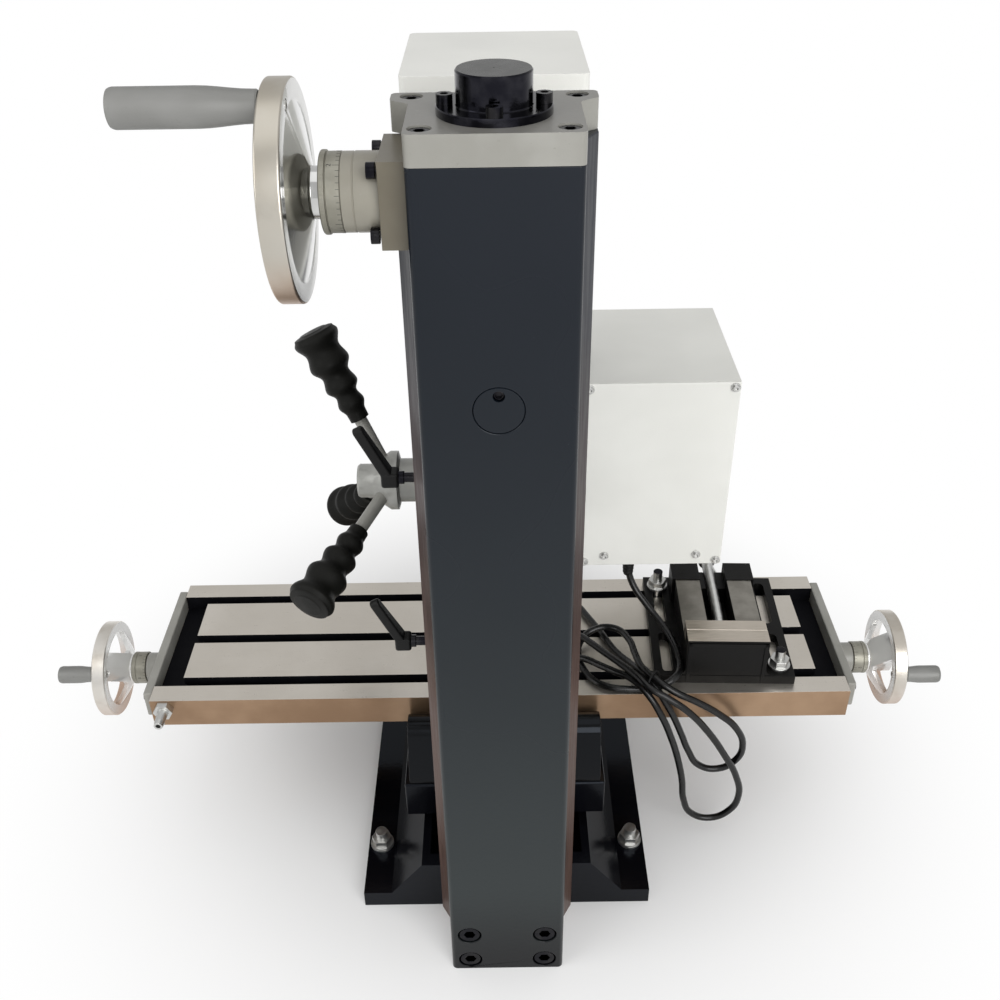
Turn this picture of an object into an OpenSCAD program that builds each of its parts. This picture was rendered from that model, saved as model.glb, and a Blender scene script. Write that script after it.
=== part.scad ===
// Benchtop milling machine with a dovetail column, compound table and drill vise.
// X runs along the table, +X to the operator's right. The operator stands at -Y. +Z is up.
// The origin is the middle of the base's underside.

/* [Base] */
// Width of the base's foot flange
base_w = 286; // [270:1:320]
// Length of the base, front to back
base_len = 450; // [440:5:480]
// Thickness of the foot flange
base_flange_t = 19; // [14:1:22]
// Width of the flange on each side of the base's body
base_side = 28; // [27:0.5:31]
// Width of the base's body at the top
base_top_w = 166; // [160:1:176]
// Height of the base's body
base_h = 61; // [59:1:63]
// Thickness of the base's end walls
base_wall = 14; // [12:1:18]
// Height of the floor between the base's walls
base_floor = 30; // [26:1:34]
// Width of the cross ways at the top
way_w = 120; // [112:1:126]
// Height of the cross ways above the bench
way_h = 88; // [86:1:90]
// Depth of the dovetails of both table ways
way_depth = 18; // [16:1:20]
// Diameter of the bench bolts
bench_bolt_d = 12; // [10:1:12]
// Distance of the bench bolts from the flange's sides
bench_bolt_in = 14; // [13:0.5:16]
// Distance of the bench bolts from the base's ends
bench_bolt_end = 61; // [50:1:75]

/* [Column] */
// Width of the column's body
col_w = 105; // [100:1:108]
// Height of the column
col_h = 770; // [768:1:790]
// Width of the column's front flange
flange_w = 129; // [126:1:131]
// Distance the front flange stands forward over the base
flange_step = 21; // [19:1:22]
// Thickness of the column's front flange
flange_t = 24; // [22:1:26]
// Depth of the column's body behind the base
col_d = 72; // [70:1:76]
// Wall thickness of the column's body
col_wall = 12; // [10:1:13]
// Width of the column's dovetail at its face
dove_w = 99; // [94:1:102]
// Depth of the column's dovetail
dove_d = 20; // [18:1:21]
// Diameter of the column's bolts
col_bolt_d = 12; // [10:1:12]
// Thickness of the column's top cap
cap_t = 19; // [16:1:22]
// Radius of the screw cover's flange
cover_flange_r = 35; // [34:1:36]
// Radius of the screw cover
cover_r = 23; // [22:1:24]
// Height of the screw cover above its flange
cover_h = 20; // [16:1:26]
// Diameter of the round access plug
plug_d = 34.5; // [30:0.5:38]
// Height of the round access plug
plug_z = 611; // [600:1:620]

/* [Column feed] */
// Height of the column handwheel's axis
zw_z = 742; // [740:0.5:743]
// Radius of the column handwheel
zw_r = 67.5; // [64:0.5:72]
// Width of the column handwheel's rim
zw_rim_w = 15; // [12:1:17]
// Diameter of the column feed's bearing housing
zw_house_d = 49; // [46:1:50]
// Length of the column handwheel's grip
zw_grip_len = 87; // [80:1:95]
// Diameter of the column leadscrew
zscrew_d = 18; // [16:1:18]

/* [Head] */
// Distance from the dovetail's face to the spindle's axis
throat = 157; // [154:1:160]
// Height of the spindle's nose above the bench, head and quill up
nose_z = 322; // [320:1:326]
// Width of the head
head_w = 132; // [130:1:133]
// Height of the head casting's top
head_top = 600; // [598:1:602]
// Height of the motor cover
mcover_h = 178; // [172:1:186]
// Width of the motor cover
mcover_w = 135; // [132:1:140]
// Depth of the motor cover, front to back
mcover_d = 144; // [142:1:148]
// Thickness of the sheet steel covers
sheet_t = 2; // [1.5:0.5:2.5]
// Radius of the motor
motor_r = 36; // [34:0.5:36]
// Height of the motor
motor_h = 130; // [110:5:140]
// Radius of the spindle's pulley
spulley_r = 24; // [22:0.5:24]
// Radius of the motor's pulley
mpulley_r = 12; // [12:0.5:14]
// Radius of the quill
quill_r = 30; // [29:0.5:30]
// Travel of the quill
quill_travel = 50; // [40:5:50]
// Pitch radius of the quill's pinion
pinion_r = 15; // [14.5:0.5:15]
// Length of a feed arm from the hub's axis
arm_len = 155; // [148:1:160]
// Lean of the feed arms away from the head
arm_lean = 25; // [22:1:27]
// Length of a feed grip
grip_len = 88; // [84:1:92]

/* [Electrical box] */
// Width of the box
box_w = 141; // [135:1:150]
// Depth of the box
box_d = 159; // [150:1:165]
// Height of the box
box_h = 203.5; // [198:0.5:212]
// Height of the box's underside above the bench
box_z = 292; // [290:1:296]

/* [Table] */
// Length of the table's top
table_len = 700; // [680:5:720]
// Width of the table's top
table_w = 185; // [182:1:188]
// Height of the table's top above the bench
table_z = 185; // [184:1:187]
// Thickness of the table's top
table_t = 33; // [32:1:33]
// Place of the table along its travel
table_x = 4; // [-20:1:20]
// Width of a T-slot
slot_w = 12; // [10:1:12]
// Distance between the T-slots
slot_pitch = 65; // [63:1:66]
// Width of the gutters at the table's ends
gutter_w = 27; // [20:1:30]
// Radius of the table and cross handwheels
xw_r = 50.5; // [46:0.5:54]
// Width of a table handwheel's rim
xw_rim_w = 13.5; // [12:0.5:15]
// Length of a table handwheel's grip
xw_grip_len = 36; // [30:1:44]
// Diameter of the table and cross leadscrews
xscrew_d = 16; // [14:1:16]

/* [Vise] */
// Width of the vise's jaws
jaw_w = 80; // [76:1:84]
// Height of the vise's jaws above the table
jaw_h = 55; // [52:1:58]
// Length of the vise's base
vise_len = 168; // [164:1:172]
// Width of the vise's base
vise_w = 140; // [136:1:146]
// Distance from the vise's left clamping stud to the right one
vise_stud_x = 112; // [108:1:114]
// Diameter of the vise's screw
vise_screw_d = 12; // [10:1:14]
// Length of the vise screw's cross bar
vise_bar_len = 50; // [40:1:50]

/* [Power cord] */
// Diameter of the power cord
cord_d = 7; // [6:0.5:7.5]

/* [Hidden] */
$fn = 64;

fit = 0.05;                     // radial clearance of a running fit
gap = 0.3;                      // clearance between sliding faces
dove_tan = tan(30);             // a dovetail's flank leans 30 degrees
dove_land = 3;                  // flat edge along a dovetail's tip
base_foot_w = base_w - 2 * base_side;
base_y = base_len / 2;          // the column's foot stands against this face
bench_bolt_x = base_w / 2 - bench_bolt_in;
bench_bolt_y = base_y - bench_bolt_end;
col_front = base_y - flange_step;
col_back = base_y + col_d;
dove_y = col_front - dove_d;    // face of the column's dovetail
spindle_y = dove_y - throat;
zscrew_y = base_y + 27;         // axis of the column leadscrew
mid_z = base_h + 9;             // underside of the saddle
saddle_top = way_h + 26;
saddle_w = 200;
saddle_back = dove_y - 14;
saddle_front = spindle_y - 102;
guard_w = saddle_w - 10;
xway_w = 84;                    // width of the table way at its top
xway_top = saddle_top + way_depth;
xscrew_z = xway_top + 14;
yscrew_z = way_h - 24;
channel_w = 36;                 // channel for the cross leadscrew
table_under = table_z - table_t;
end_t = 9;                      // thickness of the table's end plates
end_w = table_w - 21;
boss_len = 21;                  // bearing bosses on the end plates
dial_len = 15;
spigot_drop = 10;                // the spigot's axis, under the table's top
xw_dish = 17;                   // the small handwheels' rims stand this far past their hubs' faces
zblock_t = 17;                  // bearing block on the column's side
zhouse_len = 16;
zring_len = 7.5;
zhub_x = col_w / 2 + zblock_t + zhouse_len + zring_len + 13;
zrim_x = zhub_x + 14;
bevel_r = 18;
web_t = 12;                     // bearing webs inside the column
gear_z = zw_z - bevel_r;
gearbox_z = gear_z - 4 - 2 * gap;
slide_h = 230;
slide_z = nose_z - 22;
slide_y = dove_y - 24;          // front of the head slide
head_front = spindle_y - 59;
head_z = nose_z + 23;
head_boss = 10.5;               // bosses on both sides of the head
feed_y = spindle_y + quill_r + pinion_r;
feed_z = nose_z + 91;
hub_x = head_w / 2 + 11;
arm_x = hub_x + 21;
spindle_r = 16;
bearing_r = 24;
quill_h = 128;
grip_start = 65;
motor_y = spindle_y + 47;
belt_z = head_top - 32;
mcover_y = spindle_y - 55;
box_x = head_w / 2 + head_boss;
box_y = spindle_y + 20;         // rear face of the box
vise_a = 2.2;                   // the vise stands a little askew on the table
vise_x = table_x - table_len / 2 + 121;
vise_y = spindle_y + 3.6;
vise_base_t = 10;
jaw_y = 57.5;                   // face of the fixed jaw from the vise's middle
stud_y = 66;
vise_back = jaw_y + 17.5;        // rear end of the vise's base, flush with its fixed jaw

// Points of a rectangle with round corners, in the middle of the plane
function round_rect(w, d, r, n = 5) = [for (c = [[1, 1, 0], [-1, 1, 90], [-1, -1, 180], [1, -1, 270]])
    for (i = [0:n]) [c.x * (w / 2 - r) + r * cos(c.z + 90 * i / n),
        c.y * (d / 2 - r) + r * sin(c.z + 90 * i / n)]];

// Half outline of a dovetail that is h high and w wide at the top, with its root at the bottom
function dovetail(w, h, g = 0, top = 0) = let (n = w / 2 + g - (h - dove_land) * dove_tan)
    [[-n, -top], [n, -top], [n, 0], [w / 2 + g, h - dove_land], [w / 2 + g, h + g],
        [-w / 2 - g, h + g], [-w / 2 - g, h - dove_land], [-n, 0]];

// Extrude a YZ outline along X, or an XZ outline along Y
module along_x(x, len) translate([x, 0, 0]) rotate([90, 0, 90]) linear_extrude(len) children();
module along_y(y, len) translate([0, y + len, 0]) rotate([90, 0, 0]) linear_extrude(len) children();
// Turn a shape's own Z axis to +X, -X, +Y or -Y
module to_x(x, y, z) translate([x, y, z]) rotate([90, 0, 90]) children();
module to_left(x, y, z) translate([x, y, z]) rotate([90, 0, -90]) children();
module to_back(x, y, z) translate([x, y, z]) rotate([-90, 0, 0]) children();
module to_front(x, y, z) translate([x, y, z]) rotate([90, 0, 0]) children();

// Socket head screw whose head rests on z = 0 and whose shank goes down
module socket_screw(d, len, head_d = 0, head_h = 0) {
    hd = head_d > 0 ? head_d : 1.5 * d;
    hh = head_h > 0 ? head_h : d;
    difference() {
        union() {
            cylinder(d = hd, h = hh);
            translate([0, 0, -len]) cylinder(d = d, h = len + 0.5);
        }
        translate([0, 0, 0.4 * hh]) cylinder(d = 0.9 * d, h = hh, $fn = 6);
    }
}

// Hexagon nut with a round flange, standing on z = 0
module flange_nut(d, af, h) {
    difference() {
        union() {
            cylinder(d = 1.3 * af, h = 0.2 * h);
            cylinder(d = af / cos(30), h = h, $fn = 6);
        }
        translate([0, 0, -1]) cylinder(d = d, h = h + 2);
    }
}

// Handwheel on its own Z axis: hub from z = 0, dished web from z = hub_len, rim from z = dish, and a
// pin for a grip. The web is closed, or has three spokes, the first of them at spoke_a.
module wheel(r, rim_w, rim_t, hub_r, hub_len, bore_r, dish, pin_r, pin_a, pin_len, pin_d,
        spoke_w = 0, spoke_a = 0) {
    ri = r - rim_t;
    web = 5;
    difference() {
        rotate_extrude() polygon([[bore_r, 0], [hub_r, 0], [hub_r, hub_len], [ri, dish + 1], [r, dish],
            [r, dish + rim_w], [ri, dish + rim_w], [ri, dish + 1 + web],
            [hub_r + 2, hub_len + web + 1], [hub_r, dish + rim_w * 0.7], [bore_r, dish + rim_w * 0.7]]);
        if (spoke_w > 0) translate([0, 0, -1]) difference() {
            cylinder(r = ri - 2, h = dish + rim_w + 2);
            translate([0, 0, -1]) cylinder(r = hub_r + 4, h = dish + rim_w + 4);
            for (a = [0:120:240]) rotate(spoke_a + a)
                translate([0, -spoke_w / 2, -1]) cube([r, spoke_w, dish + rim_w + 4]);
        }
    }
    rotate(pin_a) translate([pin_r, 0, dish + 3]) {
        cylinder(d = pin_d + 6, h = rim_w - 2.4);
        translate([0, 0, 1]) cylinder(d = pin_d, h = rim_w + pin_len - 10);
        translate([0, 0, rim_w + pin_len - 12]) cylinder(d = pin_d + 5, h = 5);
    }
}

// Revolving grip from z = gap up, with a bore for its pin and a counterbore for the pin's head
module revolving_grip(len, r0, r1, pin_d) {
    difference() {
        rotate_extrude() polygon([[0, 1], [r0, 1], [r0 + 1, 6], [r1, len - 3], [r1 - 3, len], [0, len]]);
        cylinder(d = pin_d + 2 * fit, h = len + 1);
        translate([0, 0, len - 9.4]) cylinder(d = pin_d + 5.8, h = 10);
    }
}

// ---- Base and column ----

module base() {
    color("#1b2029")
    difference() {
        union() {
            difference() {
                along_y(-base_y, base_len) polygon([[-base_w / 2, 0], [base_w / 2, 0],
                    [base_w / 2, base_flange_t], [base_foot_w / 2, base_flange_t],
                    [base_top_w / 2, base_h], [-base_top_w / 2, base_h],
                    [-base_foot_w / 2, base_flange_t], [-base_w / 2, base_flange_t]]);
                translate([-75, base_wall - base_y, base_floor]) cube([150, base_len - 2 * base_wall, 99]);
            }
            along_y(-base_y, base_len - base_wall) translate([0, mid_z])
                polygon(dovetail(way_w, way_h - mid_z, 0, mid_z - base_floor + 1));
        }
        translate([-channel_w / 2, base_wall - base_y, yscrew_z - 18])
            cube([channel_w, base_len - 2 * base_wall, 99]);
        to_back(0, -base_y - 1, yscrew_z) cylinder(d = xscrew_d + 4, h = base_wall + 2);
        for (x = [-1, 1]) for (y = [-1, 1]) translate([x * bench_bolt_x, y * bench_bolt_y, -1])
            cylinder(d = bench_bolt_d + 1, h = base_flange_t + 2);
        column_bolt_places() translate([0, 0, -20]) cylinder(d = col_bolt_d + 2 * fit, h = 21);
    }
}

module base_studs() {
    color("silver")
    for (x = [-1, 1]) translate([x * bench_bolt_x, bench_bolt_y, 0]) {
        cylinder(d = bench_bolt_d, h = base_flange_t + 20);
        translate([0, 0, base_flange_t]) difference() {
            cylinder(d = 2 * bench_bolt_d, h = 2.5);
            translate([0, 0, -1]) cylinder(d = bench_bolt_d + 2 * fit, h = 5);
        }
        translate([0, 0, base_flange_t + 2.5]) flange_nut(bench_bolt_d + 2 * fit, 1.5 * bench_bolt_d, 9);
    }
}

// The column's four foot bolts, with their own Z axis pointing back, from the base's rear face
module column_bolt_places() {
    for (x = [-35, 35]) for (z = [14, 51.3]) to_back(x, base_y, z) children();
}

module column_outline() {
    polygon([[-col_w / 2, col_back], [-col_w / 2, col_front + flange_t + (flange_w - col_w) / 2 / dove_tan],
        [-flange_w / 2, col_front + flange_t], [-flange_w / 2, col_front], [flange_w / 2, col_front],
        [flange_w / 2, col_front + flange_t],
        [col_w / 2, col_front + flange_t + (flange_w - col_w) / 2 / dove_tan], [col_w / 2, col_back]]);
}

module column() {
    color("#262b36")
    difference() {
        union() {
            linear_extrude(col_h) column_outline();
            translate([0, col_front, base_h + 40]) linear_extrude(col_h - base_h - 40) rotate(180)
                polygon(dovetail(dove_w, dove_d, 0, 1));
        }
        // foot, set back to stand behind the base
        translate([-flange_w / 2 - 1, col_front - 1, -1]) cube([flange_w + 2, flange_step + 1, way_h + 3]);
        translate([-col_w / 2 + col_wall, base_y + 12, 72])
            cube([col_w - 2 * col_wall, col_d - 12 - col_wall, gearbox_z - web_t - 72]);
        translate([-17, dove_y - 1, 130]) cube([34, 60, gearbox_z - web_t - 130]);
        translate([-col_w / 2 + col_wall, base_y + 5, gearbox_z])
            cube([col_w - 2 * col_wall, col_d - 5 - col_wall, 99]);
        translate([0, zscrew_y, 55]) cylinder(d = zscrew_d + 2 * fit, h = gear_z);
        // side face and bores of the column feed's bearing block
        translate([col_w / 2, col_front - 1, zw_z - 28]) cube([20, 60, 99]);
        to_x(0, zscrew_y, zw_z) cylinder(d = 40, h = col_w);
        column_bolt_places() translate([0, 0, -1]) cylinder(d = col_bolt_d + 2 * fit, h = col_d + 9);
        column_bolt_places() translate([0, 0, col_d - col_bolt_d - 1]) cylinder(d = 22, h = 30);
        to_back(0, col_back - col_wall - 1, plug_z) cylinder(d = plug_d + 2 * fit, h = col_wall + 9);
        cap_screw_places() translate([0, 0, -30]) cylinder(d = 8 + 2 * fit, h = 31);
    }
}

module column_bolts() {
    color("#17181b")
    column_bolt_places() translate([0, 0, col_d - col_bolt_d - 1])
        socket_screw(col_bolt_d, col_d - col_bolt_d + 16, 19, 12);
}

module access_plug() {
    color("#262b36")
    difference() {
        to_back(0, col_back - col_wall, plug_z) cylinder(d = plug_d, h = col_wall - 0.3);
        to_back(0, col_back - 6, plug_z + 10.5) cylinder(d = 8, h = 9);
    }
    color("#17181b")
    difference() {
        to_back(0, col_back - 6, plug_z + 10.5) cylinder(d = 8, h = 4);
        to_back(0, col_back - 4, plug_z + 10.5) cylinder(d = 4.5, h = 9, $fn = 6);
    }
}

// The cap's four screws, on the column's top face
module cap_screw_places() {
    for (p = [[51.5, col_front + 10], [43, col_back - 12]]) for (s = [-1, 1])
        translate([s * p.x, p.y, col_h]) children();
}

module column_cap() {
    color("#9c9d98")
    difference() {
        translate([0, 0, col_h]) linear_extrude(cap_t) polygon([[-col_w / 2, col_back],
            [-col_w / 2, base_y + 6], [-flange_w / 2, base_y - 3], [-flange_w / 2, col_front + 1],
            [flange_w / 2, col_front + 1], [flange_w / 2, base_y - 3], [col_w / 2, base_y + 6],
            [col_w / 2, col_back]]);
        cap_screw_places() {
            translate([0, 0, -1]) cylinder(d = 8 + 2 * fit, h = cap_t + 2);
            translate([0, 0, cap_t - 9]) cylinder(d = 14.5, h = 10);
        }
        translate([0, zscrew_y, col_h - 1]) cylinder(r = 20, h = cap_t + 2);
        cover_screw_places() translate([0, 0, -9]) cylinder(d = 6 + 2 * fit, h = 10);
    }
}

module cap_screws() {
    color("#17181b")
    cap_screw_places() translate([0, 0, cap_t - 9]) socket_screw(8, cap_t - 9 + 18, 13, 8);
}

// The cover's four screws, on the cap's top face
module cover_screw_places() {
    for (a = [0:90:270]) translate([29.5 * cos(a), zscrew_y + 29.5 * sin(a), col_h + cap_t]) children();
}

module screw_cover() {
    color("#1c1d20")
    difference() {
        translate([0, zscrew_y, col_h + cap_t]) rotate_extrude() polygon([[17, 0], [cover_flange_r, 0],
            [cover_flange_r, 5], [cover_r, 5], [cover_r, 5 + cover_h - 1], [cover_r - 1, 5 + cover_h],
            [0, 5 + cover_h], [0, 1 + cover_h], [17, 1 + cover_h]]);
        cover_screw_places() translate([0, 0, -1]) cylinder(d = 6 + 2 * fit, h = 9);
    }
}

module cover_screws() {
    color("#17181b")
    cover_screw_places() translate([0, 0, 5]) socket_screw(6, 12, 10, 6);
}

// ---- Column feed ----

module z_bearing_block() {
    color("#a3a39d")
    difference() {
        union() {
            translate([col_w / 2, zscrew_y - 29, zw_z - 27]) cube([zblock_t, 58, 54]);
            to_x(col_w / 2 + 1, zscrew_y, zw_z) cylinder(d = zw_house_d, h = zblock_t + zhouse_len - 1);
            to_x(col_w / 2 - 8, zscrew_y, zw_z) cylinder(d = 40 - 2 * fit, h = 12);
            to_x(col_w / 2 + zblock_t + zhouse_len, zscrew_y, zw_z)
                cylinder(d = zw_house_d - 1, h = zring_len);
        }
        to_x(0, zscrew_y, zw_z) cylinder(d = 16 + 2 * fit, h = 150);
    }
}

module z_shaft() {
    color("silver")
    to_x(0, zscrew_y, zw_z) {
        translate([0, 0, bevel_r - 6 + gap]) cylinder(r1 = bevel_r - 6 - gap, r2 = bevel_r - gap, h = 6);
        translate([0, 0, bevel_r + gap]) cylinder(r = bevel_r - gap, h = 4);
        translate([0, 0, bevel_r]) cylinder(d = 16, h = zrim_x + 12 - bevel_r);
    }
}

module z_bevel_gear() {
    color("silver")
    difference() {
        translate([0, zscrew_y, 0]) {
            translate([0, 0, gear_z - gap]) cylinder(r1 = bevel_r - gap, r2 = bevel_r - 6 - gap, h = 6);
            translate([0, 0, gear_z - 4 - gap]) cylinder(r = bevel_r - gap, h = 4.01);
        }
        translate([0, zscrew_y, gear_z - 9]) cylinder(d = 12, h = 30);
    }
}

module z_leadscrew() {
    color("silver")
    translate([0, zscrew_y, 0]) {
        translate([0, 0, 60]) cylinder(d = zscrew_d, h = gear_z - 64 - gap);
        translate([0, 0, gear_z - 5]) cylinder(d = 12, h = 11 - gap);
    }
}

module z_dial() {
    color("#b9bab6")
    to_x(zhub_x - 13, zscrew_y, zw_z) difference() {
        union() {
            cylinder(d = zw_house_d, h = 9);
            translate([0, 0, 9]) cylinder(d = zw_house_d + 1.7, h = 4);
        }
        translate([0, 0, -1]) cylinder(d = 16, h = 20);
    }
}

module z_handwheel() {
    color("#d5d6d4")
    to_x(zhub_x, zscrew_y, zw_z)
        wheel(zw_r, zw_rim_w, 12, 16, 6, 8, zrim_x - zhub_x, zw_r - 9.5, 75, zw_grip_len, 10);
}

module z_handle() {
    color("#8f9192")
    to_x(zrim_x + zw_rim_w, zscrew_y, zw_z) rotate(75) translate([zw_r - 9.5, 0, 0])
        revolving_grip(zw_grip_len, 9.6, 11.9, 10);
}

// ---- Saddle and cross feed ----

module saddle() {
    color("#20242b")
    difference() {
        union() {
            translate([-saddle_w / 2, saddle_front, mid_z])
                cube([saddle_w, saddle_back - saddle_front, saddle_top - mid_z]);
            along_x(-saddle_w / 2, saddle_w) translate([spindle_y, saddle_top])
                polygon(dovetail(xway_w, way_depth, 0, 1));
        }
        along_y(saddle_front - 1, saddle_back - saddle_front + 2) translate([0, mid_z])
            polygon(dovetail(way_w, way_h - mid_z, gap, 1));
    }
}

module feed_nuts() {
    color("#b5925a")
    difference() {
        translate([-20, spindle_y - 12, xway_top]) cube([40, 24, 25]);
        to_x(-30, spindle_y, xscrew_z) cylinder(d = xscrew_d + 2 * fit, h = 60);
    }
    color("#b5925a")
    difference() {
        translate([-16, -16, yscrew_z - 14]) cube([32, 32, way_h + gap - yscrew_z + 14]);
        to_back(0, -30, yscrew_z) cylinder(d = xscrew_d + 2 * fit, h = 60);
    }
}

// Bent sheet that covers the saddle's rear, behind the table
module way_guard() {
    t = 3;
    y0 = spindle_y + table_w / 2 + 4;
    y1 = saddle_back - 2;
    top = 176;
    r = 16;
    color("#15161a")
    along_x(-guard_w / 2, guard_w) polygon(concat(
        [[y0, saddle_top]],
        [for (i = [180:-20:20]) [y0 + r + r * cos(i), top - r + r * sin(i)]],
        [[y1, saddle_top + 8], [y1, saddle_top], [y1 - t, saddle_top], [y1 - t, saddle_top + 8]],
        [for (i = [20:20:180]) [y0 + r + (r - t) * cos(i), top - r + (r - t) * sin(i)]],
        [[y0 + t, saddle_top]]));
}

module y_bearing_plate() {
    color("#20242b")
    difference() {
        union() {
            translate([-40, -base_y - 12, yscrew_z - 26]) cube([80, 12, 52]);
            to_front(0, -base_y - 11, yscrew_z) cylinder(d = 34, h = boss_len - 4);
        }
        to_front(0, -base_y + 1, yscrew_z) cylinder(d = xscrew_d + 2 * fit, h = 60);
    }
}

module y_leadscrew() {
    color("silver")
    to_front(0, 110, yscrew_z)
        cylinder(d = xscrew_d, h = 118 + base_y + boss_len + dial_len + xw_dish + xw_rim_w * 0.7);
}

module y_dial() {
    color("#b9bab6")
    to_front(0, -base_y - 8 - boss_len, yscrew_z) difference() {
        cylinder(d = 34, h = dial_len);
        translate([0, 0, -1]) cylinder(d = xscrew_d, h = dial_len + 2);
    }
}

module y_handwheel() {
    color("#d5d6d4")
    to_front(0, -base_y - 8 - boss_len - dial_len, yscrew_z)
        wheel(xw_r, xw_rim_w, 9, 15.5, 2, xscrew_d / 2, xw_dish, xw_r - 9, 120, xw_grip_len, 8, 30, 120);
}

module y_handle() {
    color("#8f9192")
    to_front(0, -base_y - 8 - boss_len - dial_len - xw_dish - xw_rim_w, yscrew_z) rotate(120)
        translate([xw_r - 9, 0, 0]) revolving_grip(xw_grip_len, 8, 9, 8);
}

// ---- Table and its feed ----

module table() {
    l = table_len;
    color("#b4b0a6")
    translate([table_x, spindle_y, 0]) difference() {
        union() {
            translate([-l / 2, -table_w / 2, table_under]) cube([l, table_w, table_t]);
            translate([-l / 2, -50, saddle_top + gap])
                cube([l, 100, table_under - saddle_top - gap + 1]);
        }
        along_x(-l / 2 - 1, l + 2) translate([0, saddle_top])
            polygon(dovetail(xway_w, way_depth, gap, 9));
        translate([-l / 2 - 1, -14, xway_top]) cube([l + 2, 28, 26]);
        for (y = [-slot_pitch, 0, slot_pitch]) translate([0, y, 0]) {
            translate([-l / 2 + gutter_w - 1, -slot_w / 2, table_z - 10])
                cube([l - 2 * gutter_w + 2, slot_w, 20]);
            translate([-l / 2 + gutter_w - 1, -slot_w / 2 - 4, table_z - 17])
                cube([l - 2 * gutter_w + 2, slot_w + 8, 8]);
        }
        for (s = [-1, 1]) translate([s * (l / 2 - gutter_w / 2), 0, table_z - 8.5])
            cube([gutter_w, 2 * slot_pitch + slot_w, 17 + gap], center = true);
        to_back(l / 2 - gutter_w / 2, slot_pitch, table_z - spigot_drop) cylinder(d = 8 + 2 * fit, h = 40);
    }
}

module end_plates() {
    color("#a9aaa6")
    for (s = [-1, 1]) translate([table_x, 0, 0]) rotate([0, 0, s > 0 ? 0 : 180]) {
        y = s * spindle_y;
        difference() {
            union() {
                translate([table_len / 2, y - end_w / 2, table_z - 30]) cube([end_t, end_w, 30]);
                to_x(table_len / 2, y, xscrew_z) cylinder(d = 56, h = end_t);
                to_x(table_len / 2 + 1, y, xscrew_z) cylinder(d = 32, h = end_t + boss_len - 1);
            }
            to_x(table_len / 2 - 1, y, xscrew_z) cylinder(d = xscrew_d + 2 * fit, h = 60);
        }
    }
}

module drain_spigot() {
    color("silver")
    to_back(table_x + table_len / 2 - gutter_w / 2, spindle_y + table_w / 2, table_z - spigot_drop) difference() {
        union() {
            translate([0, 0, -8]) cylinder(d = 8, h = 20);
            cylinder(d = 17 / cos(30), h = 7, $fn = 6);
            translate([0, 0, 7]) cylinder(d1 = 11, d2 = 9.5, h = 12);
            translate([0, 0, 19]) cylinder(d1 = 10.5, d2 = 8.5, h = 6);
        }
        translate([0, 0, -9]) cylinder(d = 5, h = 40);
    }
}

module x_leadscrew() {
    half = table_len / 2 + end_t + boss_len + dial_len + xw_dish + xw_rim_w * 0.7;
    color("silver")
    to_x(table_x - half, spindle_y, xscrew_z) cylinder(d = xscrew_d, h = 2 * half);
}

module x_dials() {
    x = table_len / 2 + end_t + boss_len + dial_len / 2;
    color("#b9bab6")
    for (s = [-1, 1]) to_x(table_x + s * x, spindle_y, xscrew_z)
        difference() {
            cylinder(d = 34, h = dial_len, center = true);
            cylinder(d = xscrew_d, h = dial_len + 2, center = true);
        }
}

module x_handwheels() {
    x = table_len / 2 + end_t + boss_len + dial_len;
    color("#d5d6d4") {
        to_x(table_x + x, spindle_y, xscrew_z)
            wheel(xw_r, xw_rim_w, 9, 15.5, 2, xscrew_d / 2, xw_dish, xw_r - 9, 33.5, xw_grip_len, 8, 30, 44);
        to_left(table_x - x, spindle_y, xscrew_z)
            wheel(xw_r, xw_rim_w, 9, 15.5, 2, xscrew_d / 2, xw_dish, xw_r - 9, 164.5, xw_grip_len, 8, 30, 120);
    }
}

module x_handle_right() {
    color("#8f9192")
    to_x(table_x + table_len / 2 + end_t + boss_len + dial_len + xw_dish + xw_rim_w, spindle_y, xscrew_z)
        rotate(33.5) translate([xw_r - 9, 0, 0]) revolving_grip(xw_grip_len, 8, 9, 8);
}

module x_handle_left() {
    color("#8f9192")
    to_left(table_x - table_len / 2 - end_t - boss_len - dial_len - xw_dish - xw_rim_w, spindle_y, xscrew_z)
        rotate(164.5) translate([xw_r - 9, 0, 0]) revolving_grip(xw_grip_len, 8, 9, 8);
}

// ---- Vise, from its own middle on the table's top ----

module at_vise() translate([vise_x, vise_y, table_z]) rotate(-vise_a) children();

module vise_body() {
    rail = 25.5;
    color("#1a1b1d")
    at_vise() difference() {
        union() {
            translate([-vise_w / 2, -vise_len / 2, 0])
                cube([vise_w, vise_len / 2 + vise_back, vise_base_t]);
            for (s = [-1, 1]) translate([s * (jaw_w - rail) / 2 - rail / 2, -vise_len / 2 + 14, 0])
                cube([rail, vise_len / 2 - 14 + jaw_y + 12, jaw_h - 15]);
            translate([-jaw_w / 2 - 3, -vise_len / 2 + 14, 0]) cube([jaw_w + 6, 28, jaw_h - 15]);
            translate([-jaw_w / 2, jaw_y, 0]) cube([jaw_w, 17, jaw_h]);
        }
        for (s = [-1, 1]) translate([s * vise_stud_x / 2, 0, -1]) {
            for (p = [[-stud_y - 3, -12], [16, stud_y - 2]]) {
                for (y = p) translate([0, y, 0]) cylinder(d = 11, h = 30);
                translate([-5.5, p.x, 0]) cube([11, p.y - p.x, 30]);
            }
        }
        to_front(0, 0, jaw_h - 27) cylinder(d = vise_screw_d + 2 * fit, h = 99);
        translate([-14, -vise_len / 2 + 13, jaw_h - 27]) cube([28, 30, 27]);
    }
}

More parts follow.
